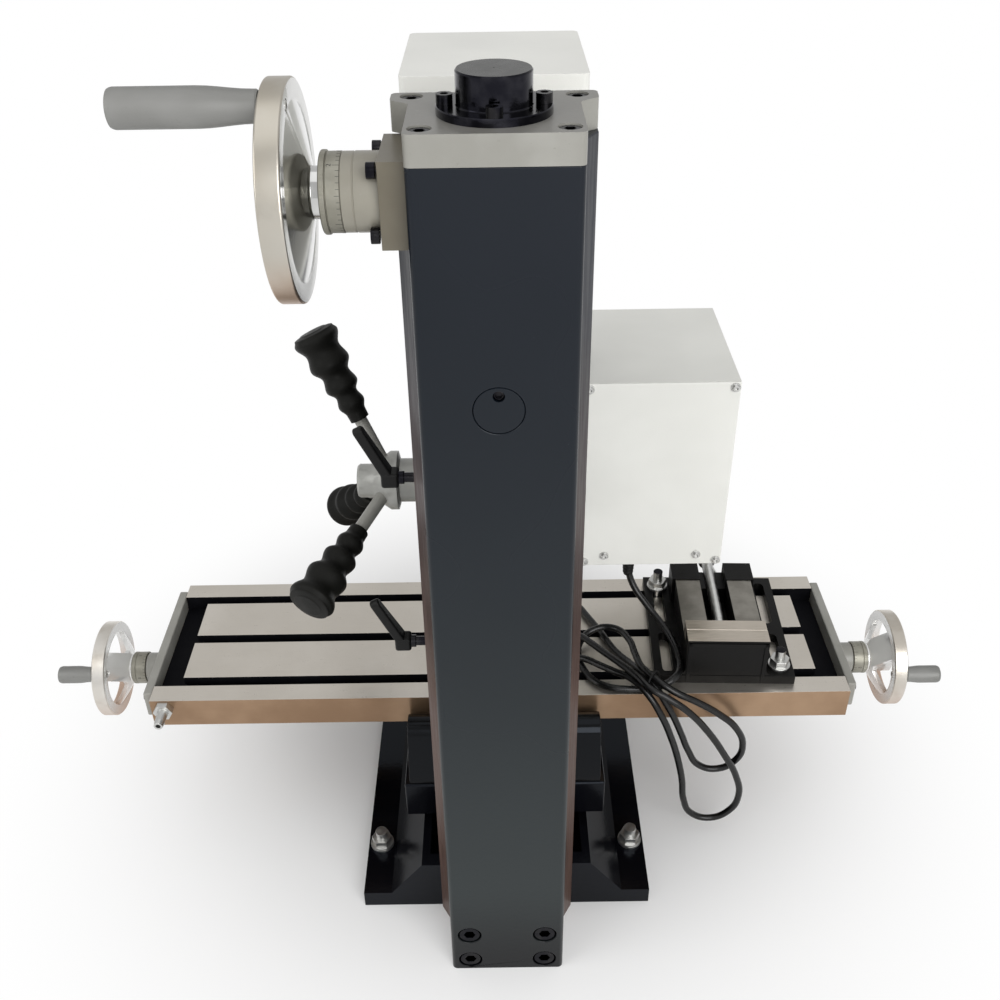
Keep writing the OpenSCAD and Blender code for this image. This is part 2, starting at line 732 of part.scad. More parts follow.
module vise_jaw() {
    color("#2a2b2c")
    at_vise() difference() {
        union() {
            translate([-jaw_w / 2, jaw_y - 15, jaw_h - 15 + gap]) cube([jaw_w, 14.7, 15 - gap]);
            translate([-11.5, jaw_y - 24, vise_base_t + gap]) cube([23, 23.7, jaw_h - 10 - vise_base_t]);
        }
        to_front(0, jaw_y - 5, jaw_h - 27) cylinder(d = vise_screw_d + 2 * fit, h = 99);
    }
}

module vise_screw() {
    color("silver")
    at_vise() {
        to_front(0, jaw_y - 5 - gap, jaw_h - 27) cylinder(d = vise_screw_d, h = jaw_y + 92);
        to_front(0, -vise_len / 2 - 4 + gap, jaw_h - 27) cylinder(d = vise_screw_d + 6, h = 10);
        translate([0, -vise_len / 2 - 9, jaw_h - 27]) rotate([0, 30, 0])
            translate([0, 0, -vise_bar_len / 2]) cylinder(d = 6, h = vise_bar_len);
    }
}

module vise_bolts() {
    color("silver")
    for (s = [-1, 1]) at_slot(s) {
        translate([0, 0, -10]) cylinder(d = 10, h = vise_base_t + 32);
        translate([-9, -9, -16.5]) cube([18, 18, 7 - gap]);
        translate([0, 0, vise_base_t]) difference() {
            cylinder(d = 20, h = 2);
            translate([0, 0, -1]) cylinder(d = 10 + 2 * fit, h = 4);
        }
        translate([0, 0, vise_base_t + 2]) flange_nut(10 + 2 * fit, 17, 9);
    }
}

// A clamping stud's place: in a T-slot, at the height of the table's top
module at_slot(s) {
    y = -s * slot_pitch + spindle_y;
    x = vise_x + s * vise_stud_x / 2 + (y - vise_y) * sin(vise_a);
    translate([x, y, table_z]) children();
}

// ---- Head ----

module head_slide() {
    color("#20242b")
    difference() {
        translate([-head_w / 2, slide_y, slide_z]) cube([head_w, col_front - gap - slide_y, slide_h]);
        translate([0, col_front, slide_z - 1]) linear_extrude(slide_h + 2) rotate(180)
            polygon(dovetail(dove_w, dove_d, gap, 9));
        for (z = [27, 196]) to_x(0, dove_y + 12, slide_z + z) cylinder(d = 8 + 2 * fit, h = 99);
    }
}

module z_nut() {
    color("#b5925a")
    difference() {
        union() {
            translate([-16, dove_y - gap, slide_z + 90]) cube([32, 30 + zscrew_y - dove_y - 30, 50]);
            translate([0, zscrew_y, slide_z + 90]) cylinder(r = 14, h = 50);
        }
        translate([0, zscrew_y, slide_z]) cylinder(d = zscrew_d + 2 * fit, h = 200);
    }
}

module head_casting() {
    d = slide_y - head_front;
    color("#2a2f3a")
    difference() {
        union() {
            translate([0, (head_front + slide_y) / 2 + 10, head_z]) linear_extrude(head_top - head_z)
                intersection() {
                    polygon(round_rect(head_w, d + 20, 14));
                    translate([0, -10]) square([head_w + 2, d], center = true);
                }
            translate([0, spindle_y, head_z - 12]) cylinder(r = quill_r + 16, h = 14);
            to_x(head_w / 2 - 1, feed_y, feed_z) cylinder(d = 48, h = head_boss + 1);
            to_left(1 - head_w / 2, feed_y, feed_z) cylinder(d = 60, h = head_boss + 1 - gap);
        }
        translate([0, spindle_y, head_z - 20]) cylinder(r = quill_r + fit, h = 145);
        translate([0, spindle_y, head_z]) cylinder(r = 14, h = 300);
        to_x(-40, feed_y, feed_z) cylinder(d = 16 + 2 * fit, h = 200);
        to_x(-14, feed_y, feed_z) cylinder(r = pinion_r + 1, h = 28);
        translate([-52, spindle_y - 42, belt_z - 6]) cube([104, 120, 99]);
    }
}

module motor_cover() {
    w = mcover_w;
    d = mcover_d;
    color("#e4e5df")
    translate([0, mcover_y + d / 2, head_top]) difference() {
        linear_extrude(mcover_h) polygon(round_rect(w, d, 5));
        translate([0, 0, -1]) linear_extrude(mcover_h + 1 - sheet_t)
            polygon(round_rect(w - 2 * sheet_t, d - 2 * sheet_t, 3));
    }
}

module motor() {
    color("#34373b")
    difference() {
        union() {
            translate([5.5 - mcover_w / 2, mcover_y + 5, head_top]) cube([mcover_w - 11, mcover_d - 10, 8]);
            translate([0, motor_y, head_top + 7]) cylinder(r = motor_r, h = motor_h + 1);
            translate([0, motor_y, belt_z]) cylinder(d = 12, h = 40);
        }
        translate([0, spindle_y, head_top - 1]) cylinder(r = 14, h = 10);
    }
}

// Pulley with a flange at each end, on its own Z axis
module pulley(r, bore_r) {
    difference() {
        rotate_extrude() polygon([[bore_r, 0], [r + 3, 0], [r + 3, 2], [r, 2], [r, 20], [r + 3, 20],
            [r + 3, 22], [bore_r, 22]]);
    }
}

module motor_pulley() {
    color("silver")
    translate([0, motor_y, belt_z + 2]) pulley(mpulley_r, 6 + fit);
}

module spindle_pulley() {
    color("silver")
    translate([0, spindle_y, belt_z + 2]) pulley(spulley_r, 8 + fit);
}

module drive_belt() {
    color("#1a1a1a")
    translate([0, 0, belt_z + 5]) linear_extrude(16) difference() {
        belt_outline(gap + 2.4);
        belt_outline(gap);
    }
}

module belt_outline(t) {
    hull() {
        translate([0, spindle_y]) circle(r = spulley_r + t);
        translate([0, motor_y]) circle(r = mpulley_r + t);
    }
}

// ---- Quill, spindle and feed ----

module quill() {
    color("silver")
    translate([0, spindle_y, nose_z + 8]) difference() {
        union() {
            cylinder(r = quill_r, h = quill_h);
            cylinder(r = quill_r + 2, h = 3);
        }
        translate([0, 0, -1]) cylinder(r = spindle_r + 1, h = 140);
        translate([0, 0, -1]) cylinder(r = bearing_r, h = 17);
        translate([0, 0, quill_h - 20]) cylinder(r = bearing_r, h = 30);
        // rack on the rear
        for (i = [0:15]) translate([-7, quill_r - 2.2, 30 + i * PI * 1.5]) cube([14, 5, 2.3]);
    }
}

module spindle_bearings() {
    color("#c8c9c8")
    for (z = [2, quill_h - 20]) translate([0, spindle_y, nose_z + 8 + z]) difference() {
        cylinder(r = bearing_r, h = 14);
        translate([0, 0, -1]) cylinder(r = spindle_r + fit, h = 20);
    }
}

module spindle() {
    color("silver")
    translate([0, spindle_y, nose_z]) difference() {
        union() {
            cylinder(r = spindle_r + 4, h = 8 - gap);
            cylinder(r = spindle_r, h = quill_h + 8);
            cylinder(r = 8, h = head_top + quill_travel - nose_z - 8);
        }
        translate([0, 0, -1]) cylinder(d1 = 24.2, d2 = 21, h = 60);
    }
}

module feed_hub() {
    n = 20;
    color("#9fa09b")
    to_x(0, feed_y, feed_z) {
        translate([0, 0, -38]) cylinder(d = 16, h = hub_x + 40);
        translate([0, 0, -11]) linear_extrude(22) polygon([for (i = [0:n - 1]) for (p = [[-0.3, -2],
            [-0.16, -0.3], [0.16, -0.3], [0.3, -2]]) (pinion_r + p.y)
            * [cos(360 * (i + p.x) / n), sin(360 * (i + p.x) / n)]]);
        difference() {
            rotate_extrude() polygon([[0, hub_x], [20, hub_x], [20, hub_x + 14], [27, hub_x + 16],
                [27, hub_x + 23], [15.5, hub_x + 40], [15.5, hub_x + 51], [14, hub_x + 53],
                [0, hub_x + 53]]);
            for (a = [104.3:120:344.3]) translate([0, 0, arm_x]) rotate(a) rotate([0, 90 - arm_lean, 0])
                translate([0, 0, 16 - gap]) cylinder(d = 12 + 2 * fit, h = 60);
        }
    }
}

// The three feed arms' places, with their own Z axis along the arm
module arm_places() {
    for (a = [104.3:120:344.3]) to_x(arm_x, feed_y, feed_z) rotate(a)
        rotate([0, 90 - arm_lean, 0]) children();
}

module feed_arms() {
    color("#a9aaa5")
    arm_places() translate([0, 0, 16]) cylinder(d = 12, h = arm_len - 28);
}

// A grip's outline as [height, radius] pairs: a plain sleeve, three bulges and a mushroom end
grip_shape = [[0, 8.8], [7, 9], [16, 12.3], [25, 10.2], [34, 15.2], [45, 12.8], [56, 18.5],
    [grip_len - 19.5, 15.8], [grip_len - 7, 20.8], [grip_len - 2, 18.5], [grip_len, 12]];

// Points on a smooth line through [height, radius] pairs, n to each stretch
function smooth(p, n) = [for (i = [0:len(p) - 2]) for (k = [0:n - 1]) let (t = (1 - cos(180 * k / n)) / 2)
    [p[i].y + (p[i + 1].y - p[i].y) * t, p[i].x + (p[i + 1].x - p[i].x) * k / n]];

module feed_grips() {
    color("#1b1b1c")
    arm_places() translate([0, 0, grip_start]) difference() {
        rotate_extrude() polygon(concat([[0, 0]], smooth(grip_shape, 5), [[12, grip_len], [0, grip_len]]));
        translate([0, 0, -1]) cylinder(d = 12 + 2 * fit, h = arm_len - grip_start - 10);
    }
}

// Indexed clamping lever on its own Z axis, pointing away from the head, handle up along +Y
module lock_lever() {
    translate([0, 0, -6]) cylinder(d = 8, h = 16);
    translate([0, 0, 9]) cylinder(d = 13, h = 5);
    translate([0, 0, 13]) cylinder(d = 14, h = 14);
    translate([0, 0, 20]) rotate([-63, 0, 0]) translate([0, 0, 3]) cylinder(d1 = 12, d2 = 8, h = 48);
}

module lock_lever_upper() {
    color("#1a1a1b")
    to_x(head_w / 2, dove_y + 12, slide_z + 196) lock_lever();
}

module lock_lever_lower() {
    color("#1a1a1b")
    to_x(head_w / 2, dove_y + 12, slide_z + 27) lock_lever();
}

// ---- Electrical box ----

module control_box() {
    t = sheet_t;
    color("#e6e7e1")
    difference() {
        union() {
            difference() {
                translate([-box_x - box_w, box_y - box_d, box_z]) cube([box_w, box_d - t, box_h]);
                translate([-box_x - box_w + t, box_y - box_d + t, box_z + t])
                    cube([box_w - 2 * t, box_d, box_h - 2 * t]);
            }
            for (x = [5, box_w - 5]) for (z = [5, box_h - 5])
                translate([-box_x - x - 5, box_y - t - 14, box_z + z - 5]) cube([10, 14, 10]);
            for (x = [25, box_w - 25]) translate([-box_x - x - 6, box_y - t - 14, box_z + 1])
                cube([12, 14, 18]);
            for (z = [110, 180]) to_x(-box_x - 1, box_y - 24, box_z + z) cylinder(d = 22, h = head_boss + 1);
        }
        box_screw_places() translate([0, 0, -10]) cylinder(d = 5 + 2 * fit, h = 20);
        translate([-box_x - 54, box_y - 30, box_z - 1]) cylinder(d = 16 + 2 * fit, h = 5);
        to_back(-box_x - 45, box_y - box_d - 1, box_z + 150) cylinder(d = 22, h = 5);
        to_back(-box_x - 100, box_y - box_d - 1, box_z + 150) cylinder(d = 6 + 2 * gap, h = 5);
    }
}

// The cover's six screws, on the cover's rear face
module box_screw_places() {
    for (p = [[5, 5], [box_w - 5, 5], [5, box_h - 5], [box_w - 5, box_h - 5], [25, 12], [box_w - 25, 12]])
        to_back(-box_x - p.x, box_y, box_z + p.y) children();
}

module box_cover() {
    color("#e9eae4")
    difference() {
        translate([-box_x - box_w, box_y - sheet_t, box_z]) cube([box_w, sheet_t, box_h]);
        box_screw_places() translate([0, 0, -10]) cylinder(d = 5 + 2 * fit, h = 20);
    }
}

module box_screws() {
    color("silver")
    box_screw_places() difference() {
        union() {
            cylinder(d = 9, h = 1.2);
            translate([0, 0, 1]) cylinder(d1 = 8, d2 = 5.5, h = 2.4);
            translate([0, 0, -8]) cylinder(d = 5, h = 8.5);
        }
        translate([0, 0, 1.8]) cylinder(d = 3.4, h = 9, $fn = 6);
    }
}

module cord_gland() {
    color("#1b1b1c")
    translate([-box_x - 54, box_y - 30, box_z]) difference() {
        union() {
            cylinder(d = 16, h = sheet_t + 2);
            translate([0, 0, sheet_t]) cylinder(d = 22 / cos(30), h = 5, $fn = 6);
            translate([0, 0, -5]) cylinder(d = 22 / cos(30), h = 5, $fn = 6);
            translate([0, 0, -16]) cylinder(d1 = 12, d2 = 20, h = 11.01);
        }
        translate([0, 0, -20]) cylinder(d = cord_d + 1, h = 40);
    }
}

module stop_button() {
    color("#b3201c")
    to_front(-box_x - 45, box_y - box_d - gap, box_z + 150) {
        translate([0, 0, -14]) cylinder(d = 22 - 2 * gap, h = 21);
        translate([0, 0, 6]) cylinder(d = 38, h = 12);
    }
}

module speed_knob() {
    color("#1b1b1c")
    to_front(-box_x - 100, box_y - box_d - gap, box_z + 150) {
        translate([0, 0, -12]) cylinder(d = 6, h = 13);
        cylinder(d = 30, h = 16);
        translate([-1.5, 6, 15]) cube([3, 8, 2]);
    }
}

// ---- Power cord ----

// The cord's own line: from the gland over the vise's foot to a small coil on the table, then to
// its tie behind the table's rear edge. Two loops hang behind the table, one lies in front of the
// column, and the plug lies on the table.
cord_route = [[-box_x - 54, box_y - 30, box_z - 12], [-131, 18, 262], [-137, 23, 245], [-149, 33, 230],
    [-163, 47, 217], [-173, 63, 208], [-178, 82, 202], [-177, 101, 200], [-170, 113, 200],
    [-161, 118, 197], [-150, 118, 192], [-138, 116, 189], [-122, 116, 189], [-106, 113, 189], [-91, 103, 189],
    [-82, 86, 189], [-78, 66, 190], [-82, 47, 193], [-97, 35, 198], [-117, 37, 201],
    [-130, 57, 203], [-134, 82, 205], [-138, 103, 207], [-149, 121, 208],
    [-167, 132, 200], [-191, 133, 186], [-214, 134, 170], [-233, 134, 150], [-242, 134, 126],
    [-237, 133, 103], [-220, 132, 90], [-200, 132, 96], [-188, 131, 116], [-179, 131, 140],
    [-170, 131, 163], [-160, 130, 184], [-149, 122, 199],
    [-138, 103, 200], [-129, 82, 193], [-117, 60, 189], [-104, 30, 189], [-92, 4, 189],
    [-80, -18, 189], [-60, -33, 189], [-36, -36, 189], [-14, -26, 189], [-4, -6, 189],
    [-10, 16, 189], [-27, 29, 189], [-47, 33, 190], [-66, 38, 195], [-80, 46, 199],
    [-91, 60, 201], [-104, 78, 203], [-118, 98, 206], [-131, 117, 208], [-143, 132, 205],
    [-160, 139, 198], [-181, 142, 182], [-203, 142, 154], [-223, 142, 120], [-238, 141, 88],
    [-244, 140, 58], [-237, 139, 34], [-218, 138, 21], [-197, 138, 29], [-187, 139, 52],
    [-183, 139, 82], [-176, 138, 114], [-167, 138, 144], [-156, 137, 172], [-142, 129, 194],
    [-127, 114, 201], [-111, 102, 200], [-97, 90, 198], [-82, 79, 197], [-66, 72, 192],
    [-48, 69, 189], [-28, 72, 191], [-12, 77, 196], [-2, 79, 199]];
plug_at = cord_route[len(cord_route) - 1];

function unit(v) = v / norm(v);
// Direction of the line at point i
function heading(p, i) = unit(p[min(i + 1, len(p) - 1)] - p[max(i - 1, 0)]);
// Sideways directions that turn as little as the line lets them
function sideways(p, h) = [for (i = 0, u = [1, 0, 0]; i < len(p);
    i = i + 1, u = i < len(p) ? unit(u - h[i] * (u * h[i])) : u) u];

module tube(p, d, sides) {
    h = [for (i = [0:len(p) - 1]) i == 0 ? [0, 0, -1] : i == len(p) - 1 ? [1, 0, 0] : heading(p, i)];
    u = sideways(p, h);
    n = len(p);
    polyhedron(
        points = [for (i = [0:n - 1]) for (k = [0:sides - 1]) let (a = 360 * k / sides)
            p[i] + d / 2 * (cos(a) * u[i] + sin(a) * cross(h[i], u[i]))],
        faces = concat([[for (k = [0:sides - 1]) k]], [[for (k = [sides - 1:-1:0]) (n - 1) * sides + k]],
            [for (i = [0:n - 2]) for (k = [0:sides - 1]) let (q = (k + 1) % sides)
                [i * sides + k, (i + 1) * sides + k, (i + 1) * sides + q]],
            [for (i = [0:n - 2]) for (k = [0:sides - 1]) let (q = (k + 1) % sides)
                [i * sides + k, (i + 1) * sides + q, i * sides + q]]));
}

module power_cord() {
    color("#18181a")
    tube(cord_route, cord_d, 8);
}

module power_plug() {
    color("#18181a")
    translate(plug_at) rotate([90, 0, 90]) {
        cylinder(r1 = 5, r2 = 7, h = 18);
        translate([-12, -13, 17.9]) cube([24, 26, 26]);
    }
    color("silver")
    translate(plug_at) rotate([90, 0, 90]) {
        for (s = [-1, 1]) translate([s * 6.35 - 0.75, -3, 43.9]) cube([1.5, 6.4, 16]);
        translate([0, 8, 43.9]) cylinder(d = 4.7, h = 18);
    }
}

base();
base_studs();
column();
column_bolts();
column_cap();
cap_screws();
screw_cover();
cover_screws();
access_plug();
z_bearing_block();
z_leadscrew();
z_bevel_gear();
z_shaft();
z_dial();
z_handwheel();
z_handle();
saddle();
feed_nuts();
way_guard();
y_bearing_plate();
y_leadscrew();
y_dial();
y_handwheel();
y_handle();
table();
end_plates();
drain_spigot();
x_leadscrew();
x_dials();
x_handwheels();
x_handle_right();
x_handle_left();
vise_body();
vise_bolts();
vise_jaw();
vise_screw();
head_slide();
z_nut();
head_casting();
motor_cover();
motor();
motor_pulley();
drive_belt();
spindle_pulley();
quill();
spindle_bearings();
spindle();
feed_hub();
feed_arms();
feed_grips();
lock_lever_upper();
lock_lever_lower();
control_box();
box_cover();
box_screws();
cord_gland();
stop_button();
speed_knob();
power_cord();
power_plug();
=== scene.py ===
from math import cos, hypot, pi, radians, sin
import bmesh
import bpy
from mathutils import Matrix, Vector


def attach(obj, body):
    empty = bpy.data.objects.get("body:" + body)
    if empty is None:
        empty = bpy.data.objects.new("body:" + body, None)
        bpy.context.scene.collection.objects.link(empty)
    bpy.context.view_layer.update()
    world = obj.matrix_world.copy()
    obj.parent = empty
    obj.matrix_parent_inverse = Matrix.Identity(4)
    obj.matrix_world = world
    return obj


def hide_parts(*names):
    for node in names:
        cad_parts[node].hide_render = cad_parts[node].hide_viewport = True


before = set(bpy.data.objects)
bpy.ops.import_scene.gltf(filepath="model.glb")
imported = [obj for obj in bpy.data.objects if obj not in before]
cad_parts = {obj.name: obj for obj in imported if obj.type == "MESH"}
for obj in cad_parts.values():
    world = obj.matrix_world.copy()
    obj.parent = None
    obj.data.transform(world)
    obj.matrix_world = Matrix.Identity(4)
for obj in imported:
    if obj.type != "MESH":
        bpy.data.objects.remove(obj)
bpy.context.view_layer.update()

# Camera: stands behind the machine, a little over the column's cap, and looks down at its back.
tilt, turn, roll = radians(34.126), radians(0.09), radians(-0.904)
ahead = Vector((sin(turn) * cos(tilt), -cos(turn) * cos(tilt), -sin(tilt)))
right = ahead.cross(Vector((0, 0, 1))).normalized()
up = right.cross(ahead)
right, up = (right * cos(roll) + up * sin(roll), up * cos(roll) - right * sin(roll))
lens = bpy.data.cameras.new("camera")
lens.sensor_width = 36
lens.lens = 39.87
lens.clip_end = 20
camera = bpy.data.objects.new("camera", lens)
camera.matrix_world = (Matrix.Translation((-0.0007, 0.9239, 0.9665))
    @ Matrix((right, up, -ahead)).transposed().to_4x4())
bpy.context.scene.collection.objects.link(camera)
bpy.context.scene.camera = camera


# Power cord: round black PVC lead, 7 mm thick and 1.8 m long. It drops out of the gland under the
# box, is coiled on the table, tied behind it in two hanging loops, and ends in a moulded plug.
class Link:
    """One output of a finish's node. Arithmetic on it adds Math nodes."""

    def __init__(self, finish, socket):
        self.finish = finish
        self.socket = socket

    def math(self, how, a, b):
        return self.finish.node("ShaderNodeMath", {"operation": how}, {0: a, 1: b})

    def __add__(self, other):
        return self.math("ADD", self, other)

    def __mul__(self, other):
        return self.math("MULTIPLY", self, other)


class Finish:
    """A node material on the Principled shader, in object coordinates."""

    def __init__(self, name, **fixed):
        self.material = bpy.data.materials.new(name)
        self.material.use_nodes = True
        self.tree = self.material.node_tree
        self.shader = self.tree.nodes["Principled BSDF"]
        self.place = self.node("ShaderNodeTexCoord", out="Object")
        for key, value in fixed.items():
            self.shader.inputs[key.replace("_", " ").title().replace("Ior", "IOR")].default_value = value

    def node(self, kind, settings=None, sockets=None, out=0):
        made = self.tree.nodes.new(kind)
        for key, value in (settings or {}).items():
            setattr(made, key, value)
        for key, value in (sockets or {}).items():
            if isinstance(value, Link):
                self.tree.links.new(value.socket, made.inputs[key])
            else:
                made.inputs[key].default_value = value
        return Link(self, made.outputs[out])

    def noise(self, scale, detail=3.0, rough=0.55, stretch=None):
        """Grain between about 0.3 and 0.7, scale in lumps a metre, stretched along the axes."""
        place = self.place
        if stretch:
            place = self.node("ShaderNodeMapping", None, {"Vector": place, "Scale": stretch})
        return self.node("ShaderNodeTexNoise", None,
            {"Vector": place, "Scale": scale, "Detail": detail, "Roughness": rough})

    def step(self, link, low, high, start=0.0, end=1.0):
        """A smooth change from start to end while the link goes from low to high."""
        return self.node("ShaderNodeMapRange", {"interpolation_type": "SMOOTHSTEP"},
            {0: link, 1: low, 2: high, 3: start, 4: end})

    def mix(self, share, a, b):
        """Colour a where share is 0 and b where it is 1."""
        a, b = [(*c, 1) if isinstance(c, tuple) else c for c in (a, b)]
        return self.node("ShaderNodeMix", {"data_type": "RGBA"}, {0: share, 6: a, 7: b}, out=2)

    def axis(self, name):
        return self.node("ShaderNodeSeparateXYZ", None, {0: self.place}, out=name)

    def color(self, value):
        self.put("Base Color", value)

    def put(self, name, value):
        if isinstance(value, Link):
            self.tree.links.new(value.socket, self.shader.inputs[name])
        else:
            self.shader.inputs[name].default_value = value

    def bump(self, height, depth):
        """Relief of depth metres from a height between 0 and 1."""
        self.put("Normal", self.node("ShaderNodeBump", None, {"Distance": depth, "Height": height}))


def cloudy(name, lumps, dark, light, low, high, grain, depth, edge=None, **fixed):
    """Clouds of two shades, low to high in roughness, with a fine grain depth metres deep."""
    f = Finish(name, **fixed)
    cloud = f.noise(lumps, 4)
    f.color(f.mix(f.step(cloud, edge, 0.7) if edge else cloud, dark, light))
    f.put("Roughness", f.step(cloud, 0.3, 0.7, low, high))
    f.bump(f.noise(*grain), depth)
    return f.material


def grey(level):
    return (level, level, level)


def mm(*numbers):
    return Vector(numbers) / 1000


finishes = {"cord_black": cloudy("cord_sheath", 60, grey(0.0025), grey(0.005), 0.2, 0.32, (900, 2), 0.00008,
    specular_ior_level=0.4)}
route = [mm(*p) for p in ((-130.5, 17, 280), (-131, 18, 262), (-137, 23, 245), (-149, 33, 230),
    (-163, 47, 217), (-173, 63, 208), (-178, 82, 202), (-177, 101, 200), (-170, 113, 200), (-161, 118, 197),
    (-150, 118, 192), (-138, 116, 189), (-122, 116, 189), (-106, 113, 189), (-91, 103, 189), (-82, 86, 189),
    (-78, 66, 190), (-82, 47, 193), (-97, 35, 198), (-117, 37, 201), (-130, 57, 203), (-134, 82, 205),
    (-138, 103, 207), (-149, 121, 208), (-167, 132, 200), (-191, 133, 186), (-214, 134, 170),
    (-233, 134, 150), (-242, 134, 126), (-237, 133, 103), (-220, 132, 90), (-200, 132, 96),
    (-188, 131, 116), (-179, 131, 140), (-170, 131, 163), (-160, 130, 184), (-149, 122, 199),
    (-138, 103, 200), (-129, 82, 193), (-117, 60, 189), (-104, 30, 189), (-92, 4, 189), (-80, -18, 189),
    (-60, -33, 189), (-36, -36, 189), (-14, -26, 189), (-4, -6, 189), (-10, 16, 189), (-27, 29, 189),
    (-47, 33, 190), (-66, 38, 195), (-80, 46, 199), (-91, 60, 201), (-104, 78, 203), (-118, 98, 206),
    (-131, 117, 208), (-143, 132, 205), (-160, 139, 198), (-181, 142, 182), (-203, 142, 154),
    (-223, 142, 120), (-238, 141, 88), (-244, 140, 58), (-237, 139, 34), (-218, 138, 21), (-197, 138, 29),
    (-187, 139, 52), (-183, 139, 82), (-176, 138, 114), (-167, 138, 144), (-156, 137, 172),
    (-142, 129, 194), (-127, 114, 201), (-111, 102, 200), (-97, 90, 198), (-82, 79, 197), (-66, 72, 192),
    (-48, 69, 189), (-28, 72, 191), (-12, 77, 196), (-2, 79, 199))]


def strand(name, points, radius, slot, **settings):
    """A round smooth line of that radius in metres through the points, riding on the table."""
    line = bpy.data.curves.new(name, "CURVE")
    line.dimensions = "3D"
    line.bevel_depth = radius
    for key, value in settings.items():
        setattr(line, key, value)
    spline = line.splines.new("BEZIER")
    spline.bezier_points.add(len(points) - 1)
    for point, place in zip(spline.bezier_points, points):
        point.co = place
        point.handle_left_type = point.handle_right_type = "AUTO"
    piece = bpy.data.objects.new(name, line)
    bpy.context.scene.collection.objects.link(piece)
    line.materials.append(finishes[slot])
    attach(piece, "table")
    return piece


cord = strand("power_lead", route, 0.0035, "cord_black", bevel_resolution=4, resolution_u=6,
    use_fill_caps=True)
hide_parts("power_cord")


# Strain relief: black nylon gland through the box's floor, with a hexagon nut on each side and a
# ribbed tapered boot around the cord.
def deselect():
    bpy.ops.object.select_all(action="DESELECT")


def pick(piece):
    """Leaves that piece alone selected and active."""
    deselect()
    piece.select_set(True)
    bpy.context.view_layer.objects.active = piece


def edit(piece):
    pick(piece)
    bpy.ops.object.mode_set(mode="EDIT")
    bpy.ops.mesh.select_all(action="SELECT")


def leave():
    bpy.ops.object.mode_set(mode="OBJECT")


TURNS = {"up": ((1, 0, 0), (0, 1, 0), (0, 0, 1)), "down": ((1, 0, 0), (0, -1, 0), (0, 0, -1)),
    "right": ((0, 1, 0), (0, 0, 1), (1, 0, 0)), "left": ((0, -1, 0), (0, 0, 1), (-1, 0, 0)),
    "front": ((1, 0, 0), (0, 0, 1), (0, -1, 0)), "back": ((1, 0, 0), (0, 0, -1), (0, 1, 0))}


def lay(piece, way, spot, spin=0.0):
    """Turns a piece that was made upright so that its Z axis points that way, and puts it there."""
    turn = Matrix(TURNS[way]).transposed().to_4x4()
    piece.data.transform(Matrix.Translation(mm(*spot)) @ turn @ Matrix.Rotation(radians(spin), 4, "Z"))
    return piece


def drawn(name, points):
    """An open line of points on the floor, as edges of a new piece that is left in edit mode."""
    deselect()
    bpy.ops.mesh.primitive_plane_add(size=0.001)
    piece = bpy.context.object
    piece.name = name
    bpy.ops.object.mode_set(mode="EDIT")
    bpy.ops.mesh.merge(type="CENTER")
    last = mm(*points[0], 0)
    bpy.ops.transform.translate(value=last)
    for p in points[1:]:
        place = mm(*p, 0)
        bpy.ops.mesh.extrude_region_move(TRANSFORM_OT_translate={"value": place - last})
        last = place
    bpy.ops.mesh.select_all(action="SELECT")
    return piece


def swing(piece, angle, reach):
    """Moves an upright piece out to that radius in millimetres, at an angle about the Z axis."""
    piece.data.transform(Matrix.Rotation(radians(angle), 4, "Z") @ Matrix.Translation(mm(reach, 0, 0)))
    return piece


def turned(name, profile, way="up", spot=(0, 0, 0), steps=64):
    """A solid turned from (radius, height) points, in millimetres. Where no height is over 0, the
    solid comes out mirrored, above 0."""
    piece = drawn(name, profile)
    bpy.ops.transform.rotate(value=-pi / 2, orient_axis="X", center_override=(0, 0, 0))
    tall = max(v.co.z for v in bmesh.from_edit_mesh(piece.data).verts)
    if tall < 1e-6 < max(abs(p[1]) for p in profile) / 1000:
        bpy.ops.transform.rotate(value=pi, orient_axis="X", center_override=(0, 0, 0))
    bpy.ops.mesh.spin(steps=steps, angle=2 * pi, center=(0, 0, 0), axis=(0, 0, 1))
    bpy.ops.mesh.select_all(action="SELECT")
    bpy.ops.mesh.remove_doubles(threshold=1e-6)
    bpy.ops.mesh.normals_make_consistent(inside=False)
    leave()
    return lay(piece, way, spot)


def rod(name, radius, low, high, way="up", spot=(0, 0, 0), steps=40):
    """A plain round bar, mostly to bore with."""
    return turned(name, [(0, low), (radius, low), (radius, high), (0, high)], way, spot, steps)


def plate(name, points, thick, way="up", spot=(0, 0, 0)):
    """A plate of that thickness, cut to a closed outline in millimetres."""
    piece = drawn(name, points)
    bpy.ops.mesh.edge_face_add()
    bpy.ops.mesh.extrude_region_move(TRANSFORM_OT_translate={"value": mm(0, 0, thick)})
    bpy.ops.mesh.select_all(action="SELECT")
    bpy.ops.mesh.normals_make_consistent(inside=False)
    leave()
    return lay(piece, way, spot)


def block(name, low, high):
    """A block between two corners, in millimetres."""
    deselect()
    low, high = mm(*low), mm(*high)
    bpy.ops.mesh.primitive_cube_add(size=1, location=(low + high) / 2, scale=high - low)
    piece = bpy.context.object
    piece.name = name
    bpy.ops.object.transform_apply(location=True, rotation=True, scale=True)
    return piece


def use(piece, kind, **settings):
    """Adds a modifier and applies it."""
    modifier = piece.modifiers.new(kind.lower(), kind)
    for key, value in settings.items():
        setattr(modifier, key, value)
    pick(piece)
    bpy.ops.object.modifier_apply(modifier=modifier.name)


def cut(piece, *tools, how="DIFFERENCE"):
    """Takes the tools' shapes away from the piece, or adds them."""
    for tool in tools:
        use(piece, "BOOLEAN", object=tool, operation=how, solver="EXACT")
        bpy.data.objects.remove(tool)


